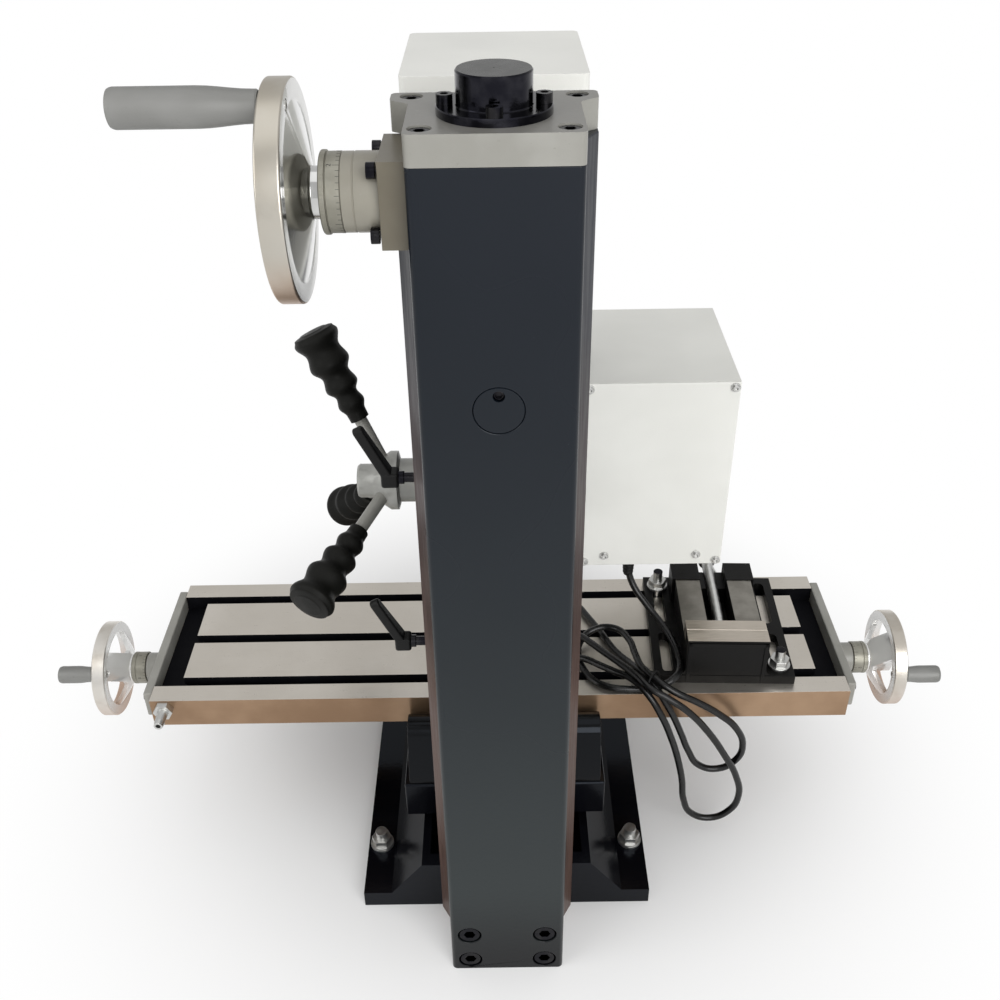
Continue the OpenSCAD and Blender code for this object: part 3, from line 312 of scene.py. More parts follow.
def soften(piece, width, rings=3, angle=30):
    """Rounds the piece's edges and smooths its shading."""
    if width:
        use(piece, "BEVEL", width=width / 1000, segments=rings, limit_method="ANGLE",
            angle_limit=radians(angle), use_clamp_overlap=True, harden_normals=True)
    pick(piece)
    bpy.ops.object.shade_smooth_by_angle(angle=radians(angle), keep_sharp_edges=True)
    use(piece, "WEIGHTED_NORMAL", mode="FACE_AREA", weight=50, keep_sharp=True)
    return piece


def joined(name, *pieces):
    deselect()
    for p in pieces:
        p.select_set(True)
    bpy.context.view_layer.objects.active = pieces[0]
    bpy.ops.object.join()
    pieces[0].name = name
    return pieces[0]


def dress(piece, slot, body, *nodes, finish=None):
    """Gives a piece its finish, its body and the CAD nodes that it stands for."""
    material = finishes[finish or slot]
    if not piece.data.materials:
        piece.data.materials.append(material)
    for k in range(len(piece.data.materials)):
        piece.data.materials[k] = material
    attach(piece, body)
    if nodes:
        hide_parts(*nodes)
    return piece


def copied(node, width, rings):
    """A new piece with a CAD node's shape and eased edges."""
    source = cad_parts[node]
    piece = bpy.data.objects.new(node + "_eased", source.data.copy())
    bpy.context.scene.collection.objects.link(piece)
    piece.data.materials.clear()
    edit(piece)
    bpy.ops.mesh.remove_doubles(threshold=2e-6)
    bpy.ops.mesh.dissolve_limited(angle_limit=radians(0.5))
    leave()
    return soften(piece, width, rings, 35)


def eased(node, width, slot, body, rings=2, finish=None):
    """A dressed copy of a CAD node, in its place."""
    return dress(copied(node, width, rings), slot, body, node, finish=finish)


def arc(x, y, r, start, end, step):
    """Points on a round corner about (x, y), by angle from the X axis in degrees."""
    return [(x + r * cos(radians(a)), y + r * sin(radians(a))) for a in range(start, end, step)]


def both(side):
    """A closed outline from its right side, from the top down, and its mirror image."""
    return [(-x, y) for x, y in side] + side[::-1]


def hexagon(across):
    return arc(0, 0, across / 2 / cos(pi / 6), 0, 360, 60)


finishes["black_plastic"] = cloudy("black_plastic", 45, grey(0.005), grey(0.013), 0.36, 0.52, (1400, 3),
    0.00012, specular_ior_level=0.18)
ribs = [p for k in range(5) for p in ((5.9 - 0.25 * k, 13 + 4 * k), (6.4 - 0.25 * k, 14 + 4 * k),
    (6.4 - 0.25 * k, 15.6 + 4 * k), (5.4 - 0.25 * k, 16.4 + 4 * k))]
boot = soften(turned("gland_boot", [(3.6, 4.9), (10.6, 4.9), (10.9, 7), (8.2, 11)] + ribs
    + [(4.6, 34), (3.7, 34.4), (3.6, 4.9)], "down", (-130.5, 17, 292), 48), 0.3, 2)
nut = soften(plate("gland_nut", hexagon(22), 5, "down", (-130.5, 17, 292)), 0.7)
inside = soften(plate("gland_locknut", hexagon(22), 5, "up", (-130.5, 17, 294)), 0.7)
gland = joined("gland", nut, boot, inside)
dress(gland, "black_plastic", "head", "cord_gland")

# Plug: moulded black PVC body with finger grips on its sides, a ribbed tail, two flat plated
# blades and a round earth pin.
body = block("plug_body", (15.9, 67, 186), (41.9, 91, 212))
for y in (67, 91):
    cut(body, rod("finger_grip", 9, -20, 20, "up", (28, 79 + (y - 79) * 1.6, 199), 48))
soften(body, 2.2, 4)
ribbed = [(0, -1), (5, -1), (5.2, 1)]
for k in range(4):
    ribbed += [(5.6 + 0.3 * k, 2 + 3.6 * k), (5.6 + 0.3 * k, 4.2 + 3.6 * k), (4.9 + 0.3 * k, 4.6 + 3.6 * k),
        (4.9 + 0.3 * k, 5.2 + 3.6 * k)]
tail = soften(turned("plug_tail", ribbed + [(6.6, 17), (7, 19), (0, 19)], "right", (-2, 79, 199), 40), 0.3,
    2)
plug = joined("plug", body, tail)
dress(plug, "black_plastic", "table", "power_plug")


finishes["zinc"] = cloudy("bright_zinc", 160, (0.48, 0.48, 0.47), (0.68, 0.68, 0.66), 0.3, 0.42, (1500, 2),
    0.00004, metallic=1.0)
blades = [soften(block("plug_blade", (41, 78.25 + side, 196), (57.9, 79.75 + side, 202.4)), 0.3, 2)
    for side in (-6.35, 6.35)]
earth = soften(turned("plug_earth", [(0, 43), (2.35, 43), (2.35, 58), (1.2, 61), (0, 61.8)], "right",
    (-2, 79, 207), 24), 0)
pins = joined("plug_pins", *blades, earth)
dress(pins, "zinc", "table")

# Twist tie: thin black plastic-coated wire around the cord's strands, with a short free end.
across, middle = Vector((0.62, 0.78, 0)), mm(-148, 120, 200.5)
tie_points = [middle + across * (11 * cos(a) / 1000) + mm(0, 0, 13.5 * sin(a))
    for a in [radians(25 * k - 150) for k in range(15)]]
tie_points += [tie_points[-1] + mm(6, 6, -5), tie_points[-1] + mm(9, 12, -9)]
tie = strand("cord_tie", tie_points, 0.0008, "black_plastic", bevel_resolution=3)


# Base: iron casting under gloss blue-black enamel, with sloping flanks over a flat foot. The cross
# ways on it are planed bare and lightly oiled.
def enamel(name, dark, light, low, high, peel, depth):
    """Sprayed enamel with faint orange peel and thin dust. Its reflections are a little blue."""
    f = Finish(name, specular_ior_level=0.18, specular_tint=(0.75, 0.85, 1, 1))
    broad, dust = f.noise(5, 2), f.noise(420, 4, 0.7)
    shade = f.mix(f.step(broad, 0.3, 0.7), dark, light)
    specks = f.step(dust, 0.72, 0.8)
    f.color(f.mix(specks * 0.2, shade, (0.1, 0.11, 0.12)))
    f.put("Roughness", f.step(broad, 0.3, 0.7, low, high) + specks * 0.15)
    f.bump(f.noise(peel, 1.5, 0.4), depth)
    return f.material


def ground_finish(name, dark, light, stretch, low, high):
    """Ground iron: fine scratches drawn out along one axis, and a few soft stains."""
    f = Finish(name, metallic=1.0)
    lines, stain = f.noise(900, 3, 0.6, stretch), f.noise(18, 4)
    f.color(f.mix(f.step(stain, 0.35, 0.68), f.mix(f.step(lines, 0.35, 0.65), dark, light), light))
    f.put("Roughness", f.step(lines, 0.3, 0.7, low, high) + f.step(stain, 0.5, 0.7) * 0.05)
    f.bump(lines, 0.00006)
    return f.material


def painted_or_bare(piece, paint, bare, test):
    """Two finishes on one piece: bare metal on the faces whose middle and normal pass the test."""
    piece.data.materials.clear()
    piece.data.materials.append(finishes[paint])
    piece.data.materials.append(finishes[bare])
    for face in piece.data.polygons:
        face.material_index = int(test(face.center * 1000, face.normal))


finishes["black_paint"] = enamel("blue_black_enamel", (0.0015, 0.0015, 0.002), (0.003, 0.003, 0.0045), 0.1,
    0.2, 260, 0.00006)
finishes["ways_across"] = ground_finish("planed_iron_across", (0.22, 0.2, 0.17), (0.36, 0.33, 0.29),
    (1, 0.06, 1), 0.26, 0.4)
base = eased("base", 1.8, "black_paint", "frame", rings=3)
painted_or_bare(base, "black_paint", "ways_across", lambda c, n: c.z > 71 and abs(c.x) < 62
    and abs(c.x) > 17)

# Bench studs: two M12 studs behind, each with a washer and a flanged nut, bright zinc plated.
eased("base_studs", 0.5, "zinc", "frame")


# Column: box casting in dark blue-grey enamel with rounded corners, set on the base's rear face.
# The slanted flanks and the dovetail in front are planed bare; slides and flanks are greased.
def column_enamel():
    f = Finish("blue_grey_enamel", specular_ior_level=0.26)
    high, foot = f.step(f.axis("Z"), 0.0, 0.75), f.step(f.axis("Z"), 0.0, 0.13)
    broad, dust = f.noise(4, 2), f.noise(520, 4, 0.7)
    # Lighter lower down and navy higher up, by height: a painted reflection of the floor. The lowest 13 cm
    # turn near black towards the ground.
    deep = f.mix(high, (0.015, 0.020, 0.021), (0.004, 0.007, 0.012))
    pale = f.mix(high, (0.018, 0.024, 0.025), (0.006, 0.009, 0.015))
    specks = f.step(dust, 0.72, 0.8)
    shade = f.mix(foot, (0.0025, 0.003, 0.004), f.mix(f.step(broad, 0.3, 0.7), deep, pale))
    f.color(f.mix(specks * 0.2, shade, (0.15, 0.16, 0.17)))
    f.put("Roughness", f.step(broad, 0.3, 0.7, 0.24, 0.32) + specks * 0.1)
    f.bump(f.noise(240, 1.5, 0.4), 0.00006)
    return f.material


def flank_finish():
    f = Finish("greased_flank_and_floor_reflection", metallic=0.25, specular_ior_level=0.25)
    # By height, the flanks are brown lower down and blue-black higher up: the brown is grease with a
    # painted reflection of the brown floor.
    high = f.step(f.axis("Z") + f.noise(5, 2) * 0.2, 0.3, 0.85)
    smear = f.noise(300, 3, 0.6, (1, 1, 0.05))
    f.color(f.mix(high, f.mix(smear, (0.075, 0.042, 0.033), (0.14, 0.085, 0.068)),
        f.mix(smear, (0.009, 0.012, 0.02), (0.018, 0.022, 0.034))))
    f.put("Roughness", f.step(smear, 0.3, 0.7, 0.34, 0.5))
    f.bump(smear, 0.0001)
    return f.material


finishes["dark_paint"] = column_enamel()
finishes["flank"] = flank_finish()
finishes["ways_up"] = ground_finish("planed_iron_up", (0.22, 0.2, 0.17), (0.36, 0.33, 0.29), (1, 1, 0.05),
    0.26, 0.4)
COLUMN_HALF, COLUMN_BACK, COLUMN_TOP, CORNER = 52.5, 297, 770, 4.5
WAYS_LOW = 101
side = arc(COLUMN_HALF - CORNER, COLUMN_BACK - CORNER, CORNER, 90, -1, -15)
side += [(COLUMN_HALF, 248.8), (64.5, 228), (64.5, 204)]
shaft = plate("column_shaft", both(side), COLUMN_TOP)
cut(shaft, block("foot_step", (-70, 200, -5), (70, 225, 90)),
    block("hollow", (-40.5, 240, 72), (40.5, 285, 711)), block("nut_slot", (-17, 200, 130), (17, 245, 711)),
    block("block_seat", (COLUMN_HALF, 200, 714), (80, 262, 790)),
    rod("plug_seat", 17.3, 0, 20, "back", (0, 284, 611), 64),
    *[rod("bolt_seat", 11, 0, 20, "back", (x, 284, z)) for x in (-35, 35) for z in (14, 51.3)])
soften(shaft, 0.8, 2)
dress(shaft, "dark_paint", "frame", "column")
painted_or_bare(shaft, "dark_paint", "flank", lambda c, n: abs(c.x) > 53.2 and c.y > 225)
slide = [(-38.7, 206), (-38.7, 204), (-49.5, 187), (-49.5, 184), (-17, 184), (-17, 206)]
ways = joined("column_ways", plate("way_left", slide, COLUMN_TOP - WAYS_LOW, spot=(0, 0, WAYS_LOW)),
    plate("way_right", [(-x, y) for x, y in slide], COLUMN_TOP - WAYS_LOW, spot=(0, 0, WAYS_LOW)))
soften(ways, 0.5, 2)
dress(ways, "dark_paint", "frame", finish="ways_up")


# Foot bolts: black oxide M12 socket screws in counterbores. Access plug: painted disc pressed into
# the column's back, with a small set screw in it.
# The second finish here is a lighter copy of the oxide for the screw cover's top face: a painted
# reflection.
for slot, name, dark, light, low, high in (
        ("black_oxide", "black_oxide", (0.012, 0.012, 0.016), (0.032, 0.031, 0.032), 0.2, 0.3),
        ("oxide_lit_top", "oxide_painted_reflection_top", (0.03, 0.031, 0.03), (0.05, 0.051, 0.047), 0.24, 0.32),
        ("oxide_gloss", "oiled_oxide", (0.014, 0.014, 0.019), (0.03, 0.03, 0.036), 0.1, 0.18)):
    finishes[slot] = cloudy(name, 70, dark, light, low, high, (700, 3), 0.00005, edge=0.35, metallic=1.0)
eased("column_bolts", 0.6, "black_oxide", "frame")
disc = turned("access_disc", [(0, 0), (17.1, 0), (17.1, 11), (16.6, 11.7), (0, 11.7)], "back",
    (0, 285, 611), 72)
cut(disc, rod("screw_seat", 4, 0, 12, "back", (0, 291, 621.5), 32))
soften(disc, 0.35, 2)
dress(disc, "dark_paint", "frame", "access_plug")
socket = turned("access_screw", [(0, 0), (3.7, 0), (3.7, 3.6), (3.3, 4), (0, 4)], "back", (0, 291, 621.5),
    32)
cut(socket, plate("hex", hexagon(4.5), 6, "back", (0, 293, 621.5)))
dress(soften(socket, 0.25, 2), "black_oxide", "frame")


# Cap: iron plate in warm light grey enamel, with rounded corners and a screw in each counterbore.
def grey_enamel(name, dark, light, chipped):
    f = Finish(name, coat_weight=0.15, coat_roughness=0.2, specular_ior_level=0.4)
    cloud, fine = f.noise(22, 3), f.noise(260, 4, 0.65)
    chips = f.step(fine, 0.66, 0.72)
    f.color(f.mix(chips * 0.4, f.mix(f.step(cloud, 0.3, 0.72), dark, light), chipped))
    f.put("Roughness", f.step(cloud, 0.3, 0.7, 0.3, 0.42))
    f.bump(fine + f.noise(700, 2) * 0.5, 0.00008)
    return f.material


finishes["grey_paint"] = grey_enamel("warm_grey_enamel", (0.26, 0.255, 0.23), (0.315, 0.31, 0.285),
    (0.18, 0.175, 0.15))
# A darker copy of the grey paint for the cap's top face: painted shade.
finishes["grey_painted_shade_top"] = grey_enamel("grey_enamel_painted_shade_top", (0.165, 0.16, 0.145), (0.2, 0.195, 0.18),
    (0.32, 0.31, 0.29))
# A darker, olive copy of the grey paint for the feed block: painted shade.
finishes["grey_block_painted_shade"] = grey_enamel("grey_enamel_painted_shade_block", (0.12, 0.105, 0.075), (0.148, 0.132, 0.097),
    (0.09, 0.08, 0.06))
finishes["grey_housing"] = grey_enamel("satin_grey_enamel", (0.25, 0.235, 0.195), (0.285, 0.27, 0.225),
    (0.3, 0.29, 0.26))
rim = arc(48.5, 293, 4, 90, -1, -15) + [(52.5, 233), (53.3, 231), (62.5, 224), (64, 222.6), (64.5, 220),
    (64.5, 208), (63, 205.6), (61, 205)]
cap = plate("cap_plate", both(rim), 19, spot=(0, 0, COLUMN_TOP))
for x, y in ((51.5, 214), (43, 285)):
    for side in (-1, 1):
        cut(cap, rod("seat", 7.25, 10, 20, "up", (side * x, y, COLUMN_TOP)))
soften(cap, 1.3, 3)
dress(cap, "grey_paint", "frame", "column_cap")
# The cap's top face takes the darker copy of the grey paint: painted shade.
painted_or_bare(cap, "grey_paint", "grey_painted_shade_top", lambda c, n: n.z > 0.8)
eased("cap_screws", 0.5, "black_oxide", "frame")

# Screw cover: turned steel cup over the leadscrew's end, black oxide, held by four screws.
cover = turned("leadscrew_cup", [(17, 0), (35, 0), (35, 4.4), (34.4, 5), (23.4, 5), (23, 5.6), (23, 24),
    (22.2, 25), (0.6, 25), (0, 24.6), (0, 21), (17, 21), (17, 0)], "up", (0, 252, COLUMN_TOP + 19), 128)
dress(soften(cover, 0), "black_oxide", "frame", "screw_cover")
# The cup's top face takes the lighter copy of the oxide: a painted reflection.
painted_or_bare(cover, "oxide_gloss", "oxide_lit_top", lambda c, n: n.z > 0.8 and c.z > 800)
eased("cover_screws", 0.5, "black_oxide", "frame")


# Column feed: cast bearing block in grey enamel on the column's side, a bored housing, a split
# index ring and a satin dial with engraved lines, all on one shaft.
def lined(name, lumps, dark, light, lines, low, high, depth, **fixed):
    """Clouds of two shades under fine tool marks, which set the gloss."""
    f = Finish(name, **fixed)
    f.color(f.mix(f.step(f.noise(lumps, 4), 0.3, 0.7), dark, light))
    marks = f.noise(*lines)
    f.put("Roughness", f.step(marks, 0.3, 0.7, low, high))
    f.bump(marks, depth)
    return f.material


def engraving():
    f = Finish("black_engraving", roughness=0.6)
    f.color(f.mix(f.noise(400, 2), (0.008, 0.008, 0.008), (0.03, 0.03, 0.03)))
    return f.material


finishes["dial_metal"] = lined("satin_dial", 60, (0.24, 0.23, 0.19), (0.31, 0.3, 0.255),
    (1500, 2, 0.6, (0.04, 1, 1)), 0.34, 0.46, 0.00004, metallic=0.6)
finishes["engraving"] = engraving()
finishes["steel"] = lined("turned_steel", 40, (0.42, 0.41, 0.39), (0.6, 0.59, 0.56), (1300, 3), 0.2, 0.34,
    0.00003, metallic=1.0)


def dial(name, radius, length, way, spot, body, node, lines=40, numbers="0123", lip=0.0, start=0.0):
    """A graduated dial: turned ring with a knurled grip edge, engraved lines and plain numbers."""
    grip, bore = length * 0.3, 8.0
    ring = turned(name, [(bore, 0.12), (radius - 0.4, 0.12), (radius, 0.5), (radius, length - grip - 0.6),
        (radius - 0.5, length - grip - 0.2), (radius - 0.5, length - grip),
        (radius + lip, length - grip + 0.4), (radius + lip, length - 0.6),
        (radius + lip - 0.6, length), (bore, length), (bore, 0.12)], way, spot, 120)
    soften(ring, 0)
    dress(ring, "dial_metal", body, node)
    marks = []
    for k in range(lines):
        tall = 4.2 if k % 10 == 0 else 3.2 if k % 5 == 0 else 2.2
        mark = block("mark", (radius - 0.5, -0.13, 0.3), (radius + 0.06, 0.13, 0.3 + tall))
        marks.append(lay(mark, way, spot, start + 360 * k / lines))
    for k, digit in enumerate(numbers):
        deselect()
        bpy.ops.object.text_add()
        word = bpy.context.object
        word.data.body = digit
        word.data.size, word.data.extrude = 0.0042, 0.0002
        word.data.align_x = "CENTER"
        bpy.ops.object.convert(target="MESH")
        word = bpy.context.object
        word.data.transform(Matrix.Rotation(pi / 2, 4, "Z") @ Matrix.Rotation(pi / 2, 4, "X"))
        word.data.transform(Matrix.Translation(mm(radius - 0.12, 0, 5.2)))
        marks.append(lay(word, way, spot, start + 360 * k / len(numbers)))
    teeth = [((radius + lip + 0.1 - 0.45 * (k % 2)) * cos(pi * k / 72),
        (radius + lip + 0.1 - 0.45 * (k % 2)) * sin(pi * k / 72)) for k in range(144)]
    dress(lay(plate(name + "_knurl", teeth, grip - 1.6, spot=(0, 0, length - grip + 0.8)), way, spot),
        "dial_metal", body)
    dress(joined(name + "_marks", *marks), "dial_metal", body, finish="engraving")


BLOCK_FACE, FEED_AXIS = 69.5, (252, 742)
block_z = block("feed_block", (COLUMN_HALF, 223, 715), (BLOCK_FACE, 281, 769))
corners = [(BLOCK_FACE, y, z) for y in (230, 274) for z in (722, 762)]
for spot in corners:
    cut(block_z, rod("seat", 5.5, -7, 1, "right", spot))
soften(block_z, 1.2, 3)
# Known fault: turned's mirror puts this stub in the housing and the screws' heads off the block.
stub = rod("feed_stub", 19.9, -24.5, -3, "right", (BLOCK_FACE, *FEED_AXIS), 48)
# The block takes the darker copy of the grey paint: painted shade.
dress(joined("feed_block", block_z, soften(stub, 0)), "grey_paint", "frame", "z_bearing_block",
    finish="grey_block_painted_shade")
housing = turned("feed_housing", [(8.05, 0), (24.5, 0), (24.5, 15.4), (24, 15.8), (24, 16.2), (24.4, 16.6),
    (24.4, 23.1), (24, 23.5), (8.05, 23.5), (8.05, 0)], "right", (BLOCK_FACE, *FEED_AXIS), 96)
dress(soften(housing, 0), "grey_paint", "frame", "z_bearing_block", finish="grey_housing")
for spot in corners:
    bolt = turned("block_screw", [(0, -6.8), (4.9, -6.8), (5, -6.6), (5, -1.6), (4.6, -1.2), (2.6, -1.2),
        (2.4, -3.6), (0, -3.6)], "right", spot, 32)
    dress(soften(bolt, 0), "black_oxide", "frame")
dial("column_dial", 24.5, 13, "right", (93, *FEED_AXIS), "z_wheel", "z_dial", 40, "02", 0.85, -122)
eased("z_shaft", 0.3, "steel", "z_wheel")
eased("z_bevel_gear", 0.3, "steel", "z_screw")


# Leadscrews: turned steel with a rolled trapezoid thread, drawn as relief.
def threaded(name, pitch, axis):
    f = Finish(name, metallic=1.0)
    along = f.axis(axis) * (1.0 / pitch)
    wave = f.node("ShaderNodeMath", {"operation": "PINGPONG"}, {0: along, 1: 0.5})
    # The thread's roots are painted darker than its crests: painted shade in the grooves.
    flank = f.step(wave, 0.1, 0.4)
    f.color(f.mix(flank, (0.3, 0.29, 0.27), (0.52, 0.51, 0.49)))
    f.put("Roughness", f.step(flank, 0.0, 1.0, 0.5, 0.26))
    f.bump(flank + f.noise(900, 2) * 0.1, pitch * 0.3)
    return f.material


finishes["thread_up"] = threaded("leadscrew_thread_up", 0.004, "Z")
finishes["thread_across"] = threaded("leadscrew_thread_across", 0.003, "X")
finishes["thread_along"] = threaded("leadscrew_thread_along", 0.003, "Y")
for node, body, made in (("z_leadscrew", "z_screw", "thread_up"),
        ("x_leadscrew", "x_wheel", "thread_across"), ("y_leadscrew", "y_wheel", "thread_along")):
    eased(node, 0.3, "steel", body, finish=made)


# Handwheels: polished cast aluminium with a square brushed rim. The column's has a closed cone as
# its web, the small ones three broad spokes. A crank pin's socket end shows on the inner side.
def floor_reflection_tint(f, shade, tint, low, high):
    """The shade, with a painted reflection of the brown floor towards the low side of a wheel."""
    return f.mix(f.step(f.axis("Z") + f.noise(12, 3) * 0.02, low, high), tint, shade)


def polished_aluminium(name, metallic, dark, light, low, high):
    f = Finish(name, metallic=metallic)
    cloud, fine = f.noise(14, 2), f.noise(500, 2)
    shade = f.mix(f.step(cloud, 0.35, 0.65), dark, light)
    # Brown towards the wheel's low side: a painted reflection of the floor.
    f.color(floor_reflection_tint(f, shade, (0.56, 0.38, 0.27), low, high))
    f.put("Roughness", f.step(cloud, 0.3, 0.7, 0.07, 0.15))
    f.bump(fine, 0.00002)
    return f.material


def brushed_aluminium(name, dark, light, low, high):
    """Brushed rim, warm grey with fine lines around it."""
    f = Finish(name, metallic=1.0)
    cloud, lines = f.noise(9, 3), f.noise(2600, 2, 0.6, (1, 1, 0.04))
    smudge = f.step(f.noise(30, 3), 0.5, 0.7)
    shade = f.mix(smudge * 0.35, f.mix(f.step(cloud, 0.35, 0.65), dark, light), (0.4, 0.35, 0.28))
    # Brown towards the wheel's low side: a painted reflection of the floor.
    f.color(floor_reflection_tint(f, shade, (0.46, 0.3, 0.2), low, high))
    f.put("Roughness", f.step(lines, 0.3, 0.7, 0.29, 0.36))
    f.bump(lines, 0.00001)
    return f.material


# The column wheel's copies are darker, a painted reflection of the dark column; the small wheels' copies
# are pale and half metallic, a painted highlight.
finishes["polished_high"] = polished_aluminium("polished_aluminium_high", 1.0, (0.5, 0.5, 0.49),
    (0.68, 0.68, 0.67), 0.64, 0.66)
finishes["brushed_high"] = brushed_aluminium("brushed_aluminium_high", (0.46, 0.42, 0.35),
    (0.58, 0.555, 0.5), 0.68, 0.745)
for place, low, high in (("low", 0.1, 0.17), ("front", 0.02, 0.08)):
    finishes["polished_" + place] = polished_aluminium("polished_aluminium_" + place, 0.5,
        (0.74, 0.735, 0.72), (0.88, 0.88, 0.87), low, high)
    finishes["brushed_" + place] = brushed_aluminium("brushed_aluminium_" + place, (0.56, 0.52, 0.46),
        (0.84, 0.82, 0.78), low, high)


def handwheel(name, r, rim_w, rim_t, hub_r, hub_len, dish, pin_a, spoke, spoke_a, place, way, spot, body,
        *nodes):
    """A dished wheel with a closed web, or with three parallel-sided spokes, and a crank pin."""
    ri, web, pin_reach = r - rim_t, 5.0, r - 9.5
    inner = dish + 1 + web
    wheel = turned(name, [(7.9, 0), (hub_r - 0.8, 0), (hub_r, 0.8), (hub_r, hub_len),
        (hub_r + 1.2, hub_len + 0.8), (ri - 1.5, dish + 0.4), (ri, dish), (r - 0.9, dish), (r, dish + 0.9),
        (r, dish + rim_w - 0.9), (r - 0.9, dish + rim_w), (ri + 0.8, dish + rim_w),
        (ri, dish + rim_w - 0.8), (ri, inner + 1.4), (ri - 1.6, inner), (hub_r + 3, hub_len + web + 1.6),
        (hub_r, hub_len + web + 1.2), (hub_r - 0.4, dish + rim_w * 0.7 - 0.8),
        (hub_r - 1.2, dish + rim_w * 0.7), (7.9, dish + rim_w * 0.7), (7.9, 0)], steps=144)
    if spoke:
        windows = turned("windows", [(hub_r + 4, -5), (ri - 2, -5), (ri - 2, 60), (hub_r + 4, 60),
            (hub_r + 4, -5)], steps=96)
        for k in range(3):
            cut(windows, swing(block("bar", (0, -spoke / 2, -9), (r, spoke / 2, 70)), 120 * k, 0))
        use(windows, "BEVEL", width=0.0025, segments=4, limit_method="ANGLE", angle_limit=radians(40))
        cut(wheel, windows)
        swing(wheel, spoke_a, 0)
    soften(wheel, 0.7, 3, 32)
    pin = turned("pin", [(0, dish - 0.2), (3.2, dish - 0.2), (3.4, dish + 0.4), (3.4, dish + 3),
        (0, dish + 3)], steps=32)
    cut(pin, plate("slot", hexagon(3.4), 4, spot=(0, 0, dish - 2.6)))
    swing(pin, pin_a, pin_reach)
    cut(wheel, swing(rod("seat", 4.3, dish - 3, dish + 1.2, steps=32), pin_a, pin_reach))
    dress(wheel, "aluminium", body, *nodes, finish="polished_" + place)
    painted_or_bare(wheel, "polished_" + place, "brushed_" + place, lambda c, n: hypot(c.x, c.y) > r - 1.2)
    lay(wheel, way, spot)
    dress(lay(soften(pin, 0.2, 2), way, spot), "steel", body)
    nut = turned("wheel_nut", [(0, 0.2), (6.6, 0.2), (7, 0.6), (7, 2.4), (6.2, 3), (0, 3)], steps=48)
    nut.data.transform(Matrix.Translation(mm(0, 0, dish + rim_w * 0.7)))
    dress(lay(soften(nut, 0), way, spot), "steel", body)


# Crank grips: grey satin sleeve that turns on the pin, slim at the wheel and full at the end.
def grip_finish():
    f = Finish("satin_grey_grip", metallic=0.25, specular_ior_level=0.5)
    cloud, fine = f.noise(25, 2), f.noise(900, 3)
    smudge = f.step(f.noise(110, 4, 0.7), 0.64, 0.76)
    f.color(f.mix(smudge * 0.3, f.mix(f.step(cloud, 0.3, 0.7), (0.195, 0.195, 0.185),
        (0.235, 0.235, 0.225)), (0.13, 0.125, 0.11)))
    f.put("Roughness", f.step(cloud, 0.3, 0.7, 0.42, 0.54))
    f.bump(fine, 0.00006)
    return f.material


finishes["grip_grey"] = grip_finish()


def crank_grip(name, length, slim, full, pin_r, reach, pin_a, way, spot, body, node):
    swell = 0.42  # share of the length that grows
    side = [(slim + (full - slim) * (1 - cos(pi * min(1, t / swell / 12))) / 2, 3 + (length - 6) * t / 12)
        for t in range(13)]
    grip = turned(name, [(0, 0.4), (slim - 0.8, 0.4), (slim, 1.4)] + side
        + [(full - 0.3, length - 1.6), (full - 0.9, length - 0.4), (full - 1.8, length),
        (pin_r + 2.9, length), (pin_r + 2.9, length - 2), (0, length - 2)], steps=72)
    dress(lay(soften(swing(grip, pin_a, reach), 0), way, spot), "grip_grey", body, node)
    head = turned("crank_pin_head", [(0, length - 1.9), (pin_r + 2.2, length - 1.9),
        (pin_r + 2.2, length - 1.2), (pin_r + 1.4, length - 0.7), (0, length - 0.7)], steps=32)
    cut(head, block("slot", (-6, -0.7, length - 1.3), (6, 0.7, length + 1)))
    dress(lay(soften(swing(head, pin_a, reach), 0), way, spot), "steel", body)


handwheel("column_wheel", 67.5, 15, 12, 16, 6, 14, 75, 0, 0, "high", "right", (106, *FEED_AXIS), "z_wheel",
    "z_handwheel")
crank_grip("column_grip", 87, 9.6, 11.9, 5, 58, 75, "right", (135, *FEED_AXIS), "z_grip", "z_handle")
TABLE_AXIS, CROSS_AXIS = (27, 146), 64
for name, spoke_a, pin_a, place, way, hub, pin, body, node, grip_body, grip_node in (
        ("right", 44, 33.5, "low", "right", (399, *TABLE_AXIS), (429.5, *TABLE_AXIS),
        "x_wheel", "x_handwheels", "x_grip_right", "x_handle_right"),
        ("left", 120, 164.5, "low", "left", (-391, *TABLE_AXIS), (-421.5, *TABLE_AXIS),
        "x_wheel", "x_handwheels", "x_grip_left", "x_handle_left"),
        ("cross", 120, 120, "front", "front", (0, -269, CROSS_AXIS), (0, -299.5, CROSS_AXIS),
        "y_wheel", "y_handwheel", "y_grip", "y_handle")):
    handwheel(name + "_wheel", 50.5, 13.5, 9, 15.5, 2, 17, pin_a, 30, spoke_a, place, way, hub, body, node)
    crank_grip(name + "_grip", 35.1, 8, 9, 4, 41.5, pin_a, way, pin, grip_body, grip_node)
dial("right_dial", 17, 15, "right", (384, *TABLE_AXIS), "x_wheel", "x_dials", 30)
dial("left_dial", 17, 15, "left", (-376, *TABLE_AXIS), "x_wheel", "x_dials", 30)
dial("cross_dial", 17, 15, "front", (0, -254, CROSS_AXIS), "y_wheel", "y_dial", 30)


# Saddle: iron casting in the same gloss blue-black enamel, with the table's ways planed bare on
# top. Bronze feed nuts stand under the table and in the base. A bent cover hides its rear.
def rubber():
    f = Finish("black_rubber", specular_ior_level=0.12)
    cloud, grain = f.noise(40, 4), f.noise(1800, 3)
    f.color(f.mix(cloud, (0.005, 0.005, 0.004), (0.010, 0.010, 0.009)))
    f.put("Roughness", f.step(cloud, 0.3, 0.7, 0.4, 0.56))
    f.bump(grain + f.noise(160, 2) * 0.6, 0.00012)
    return f.material


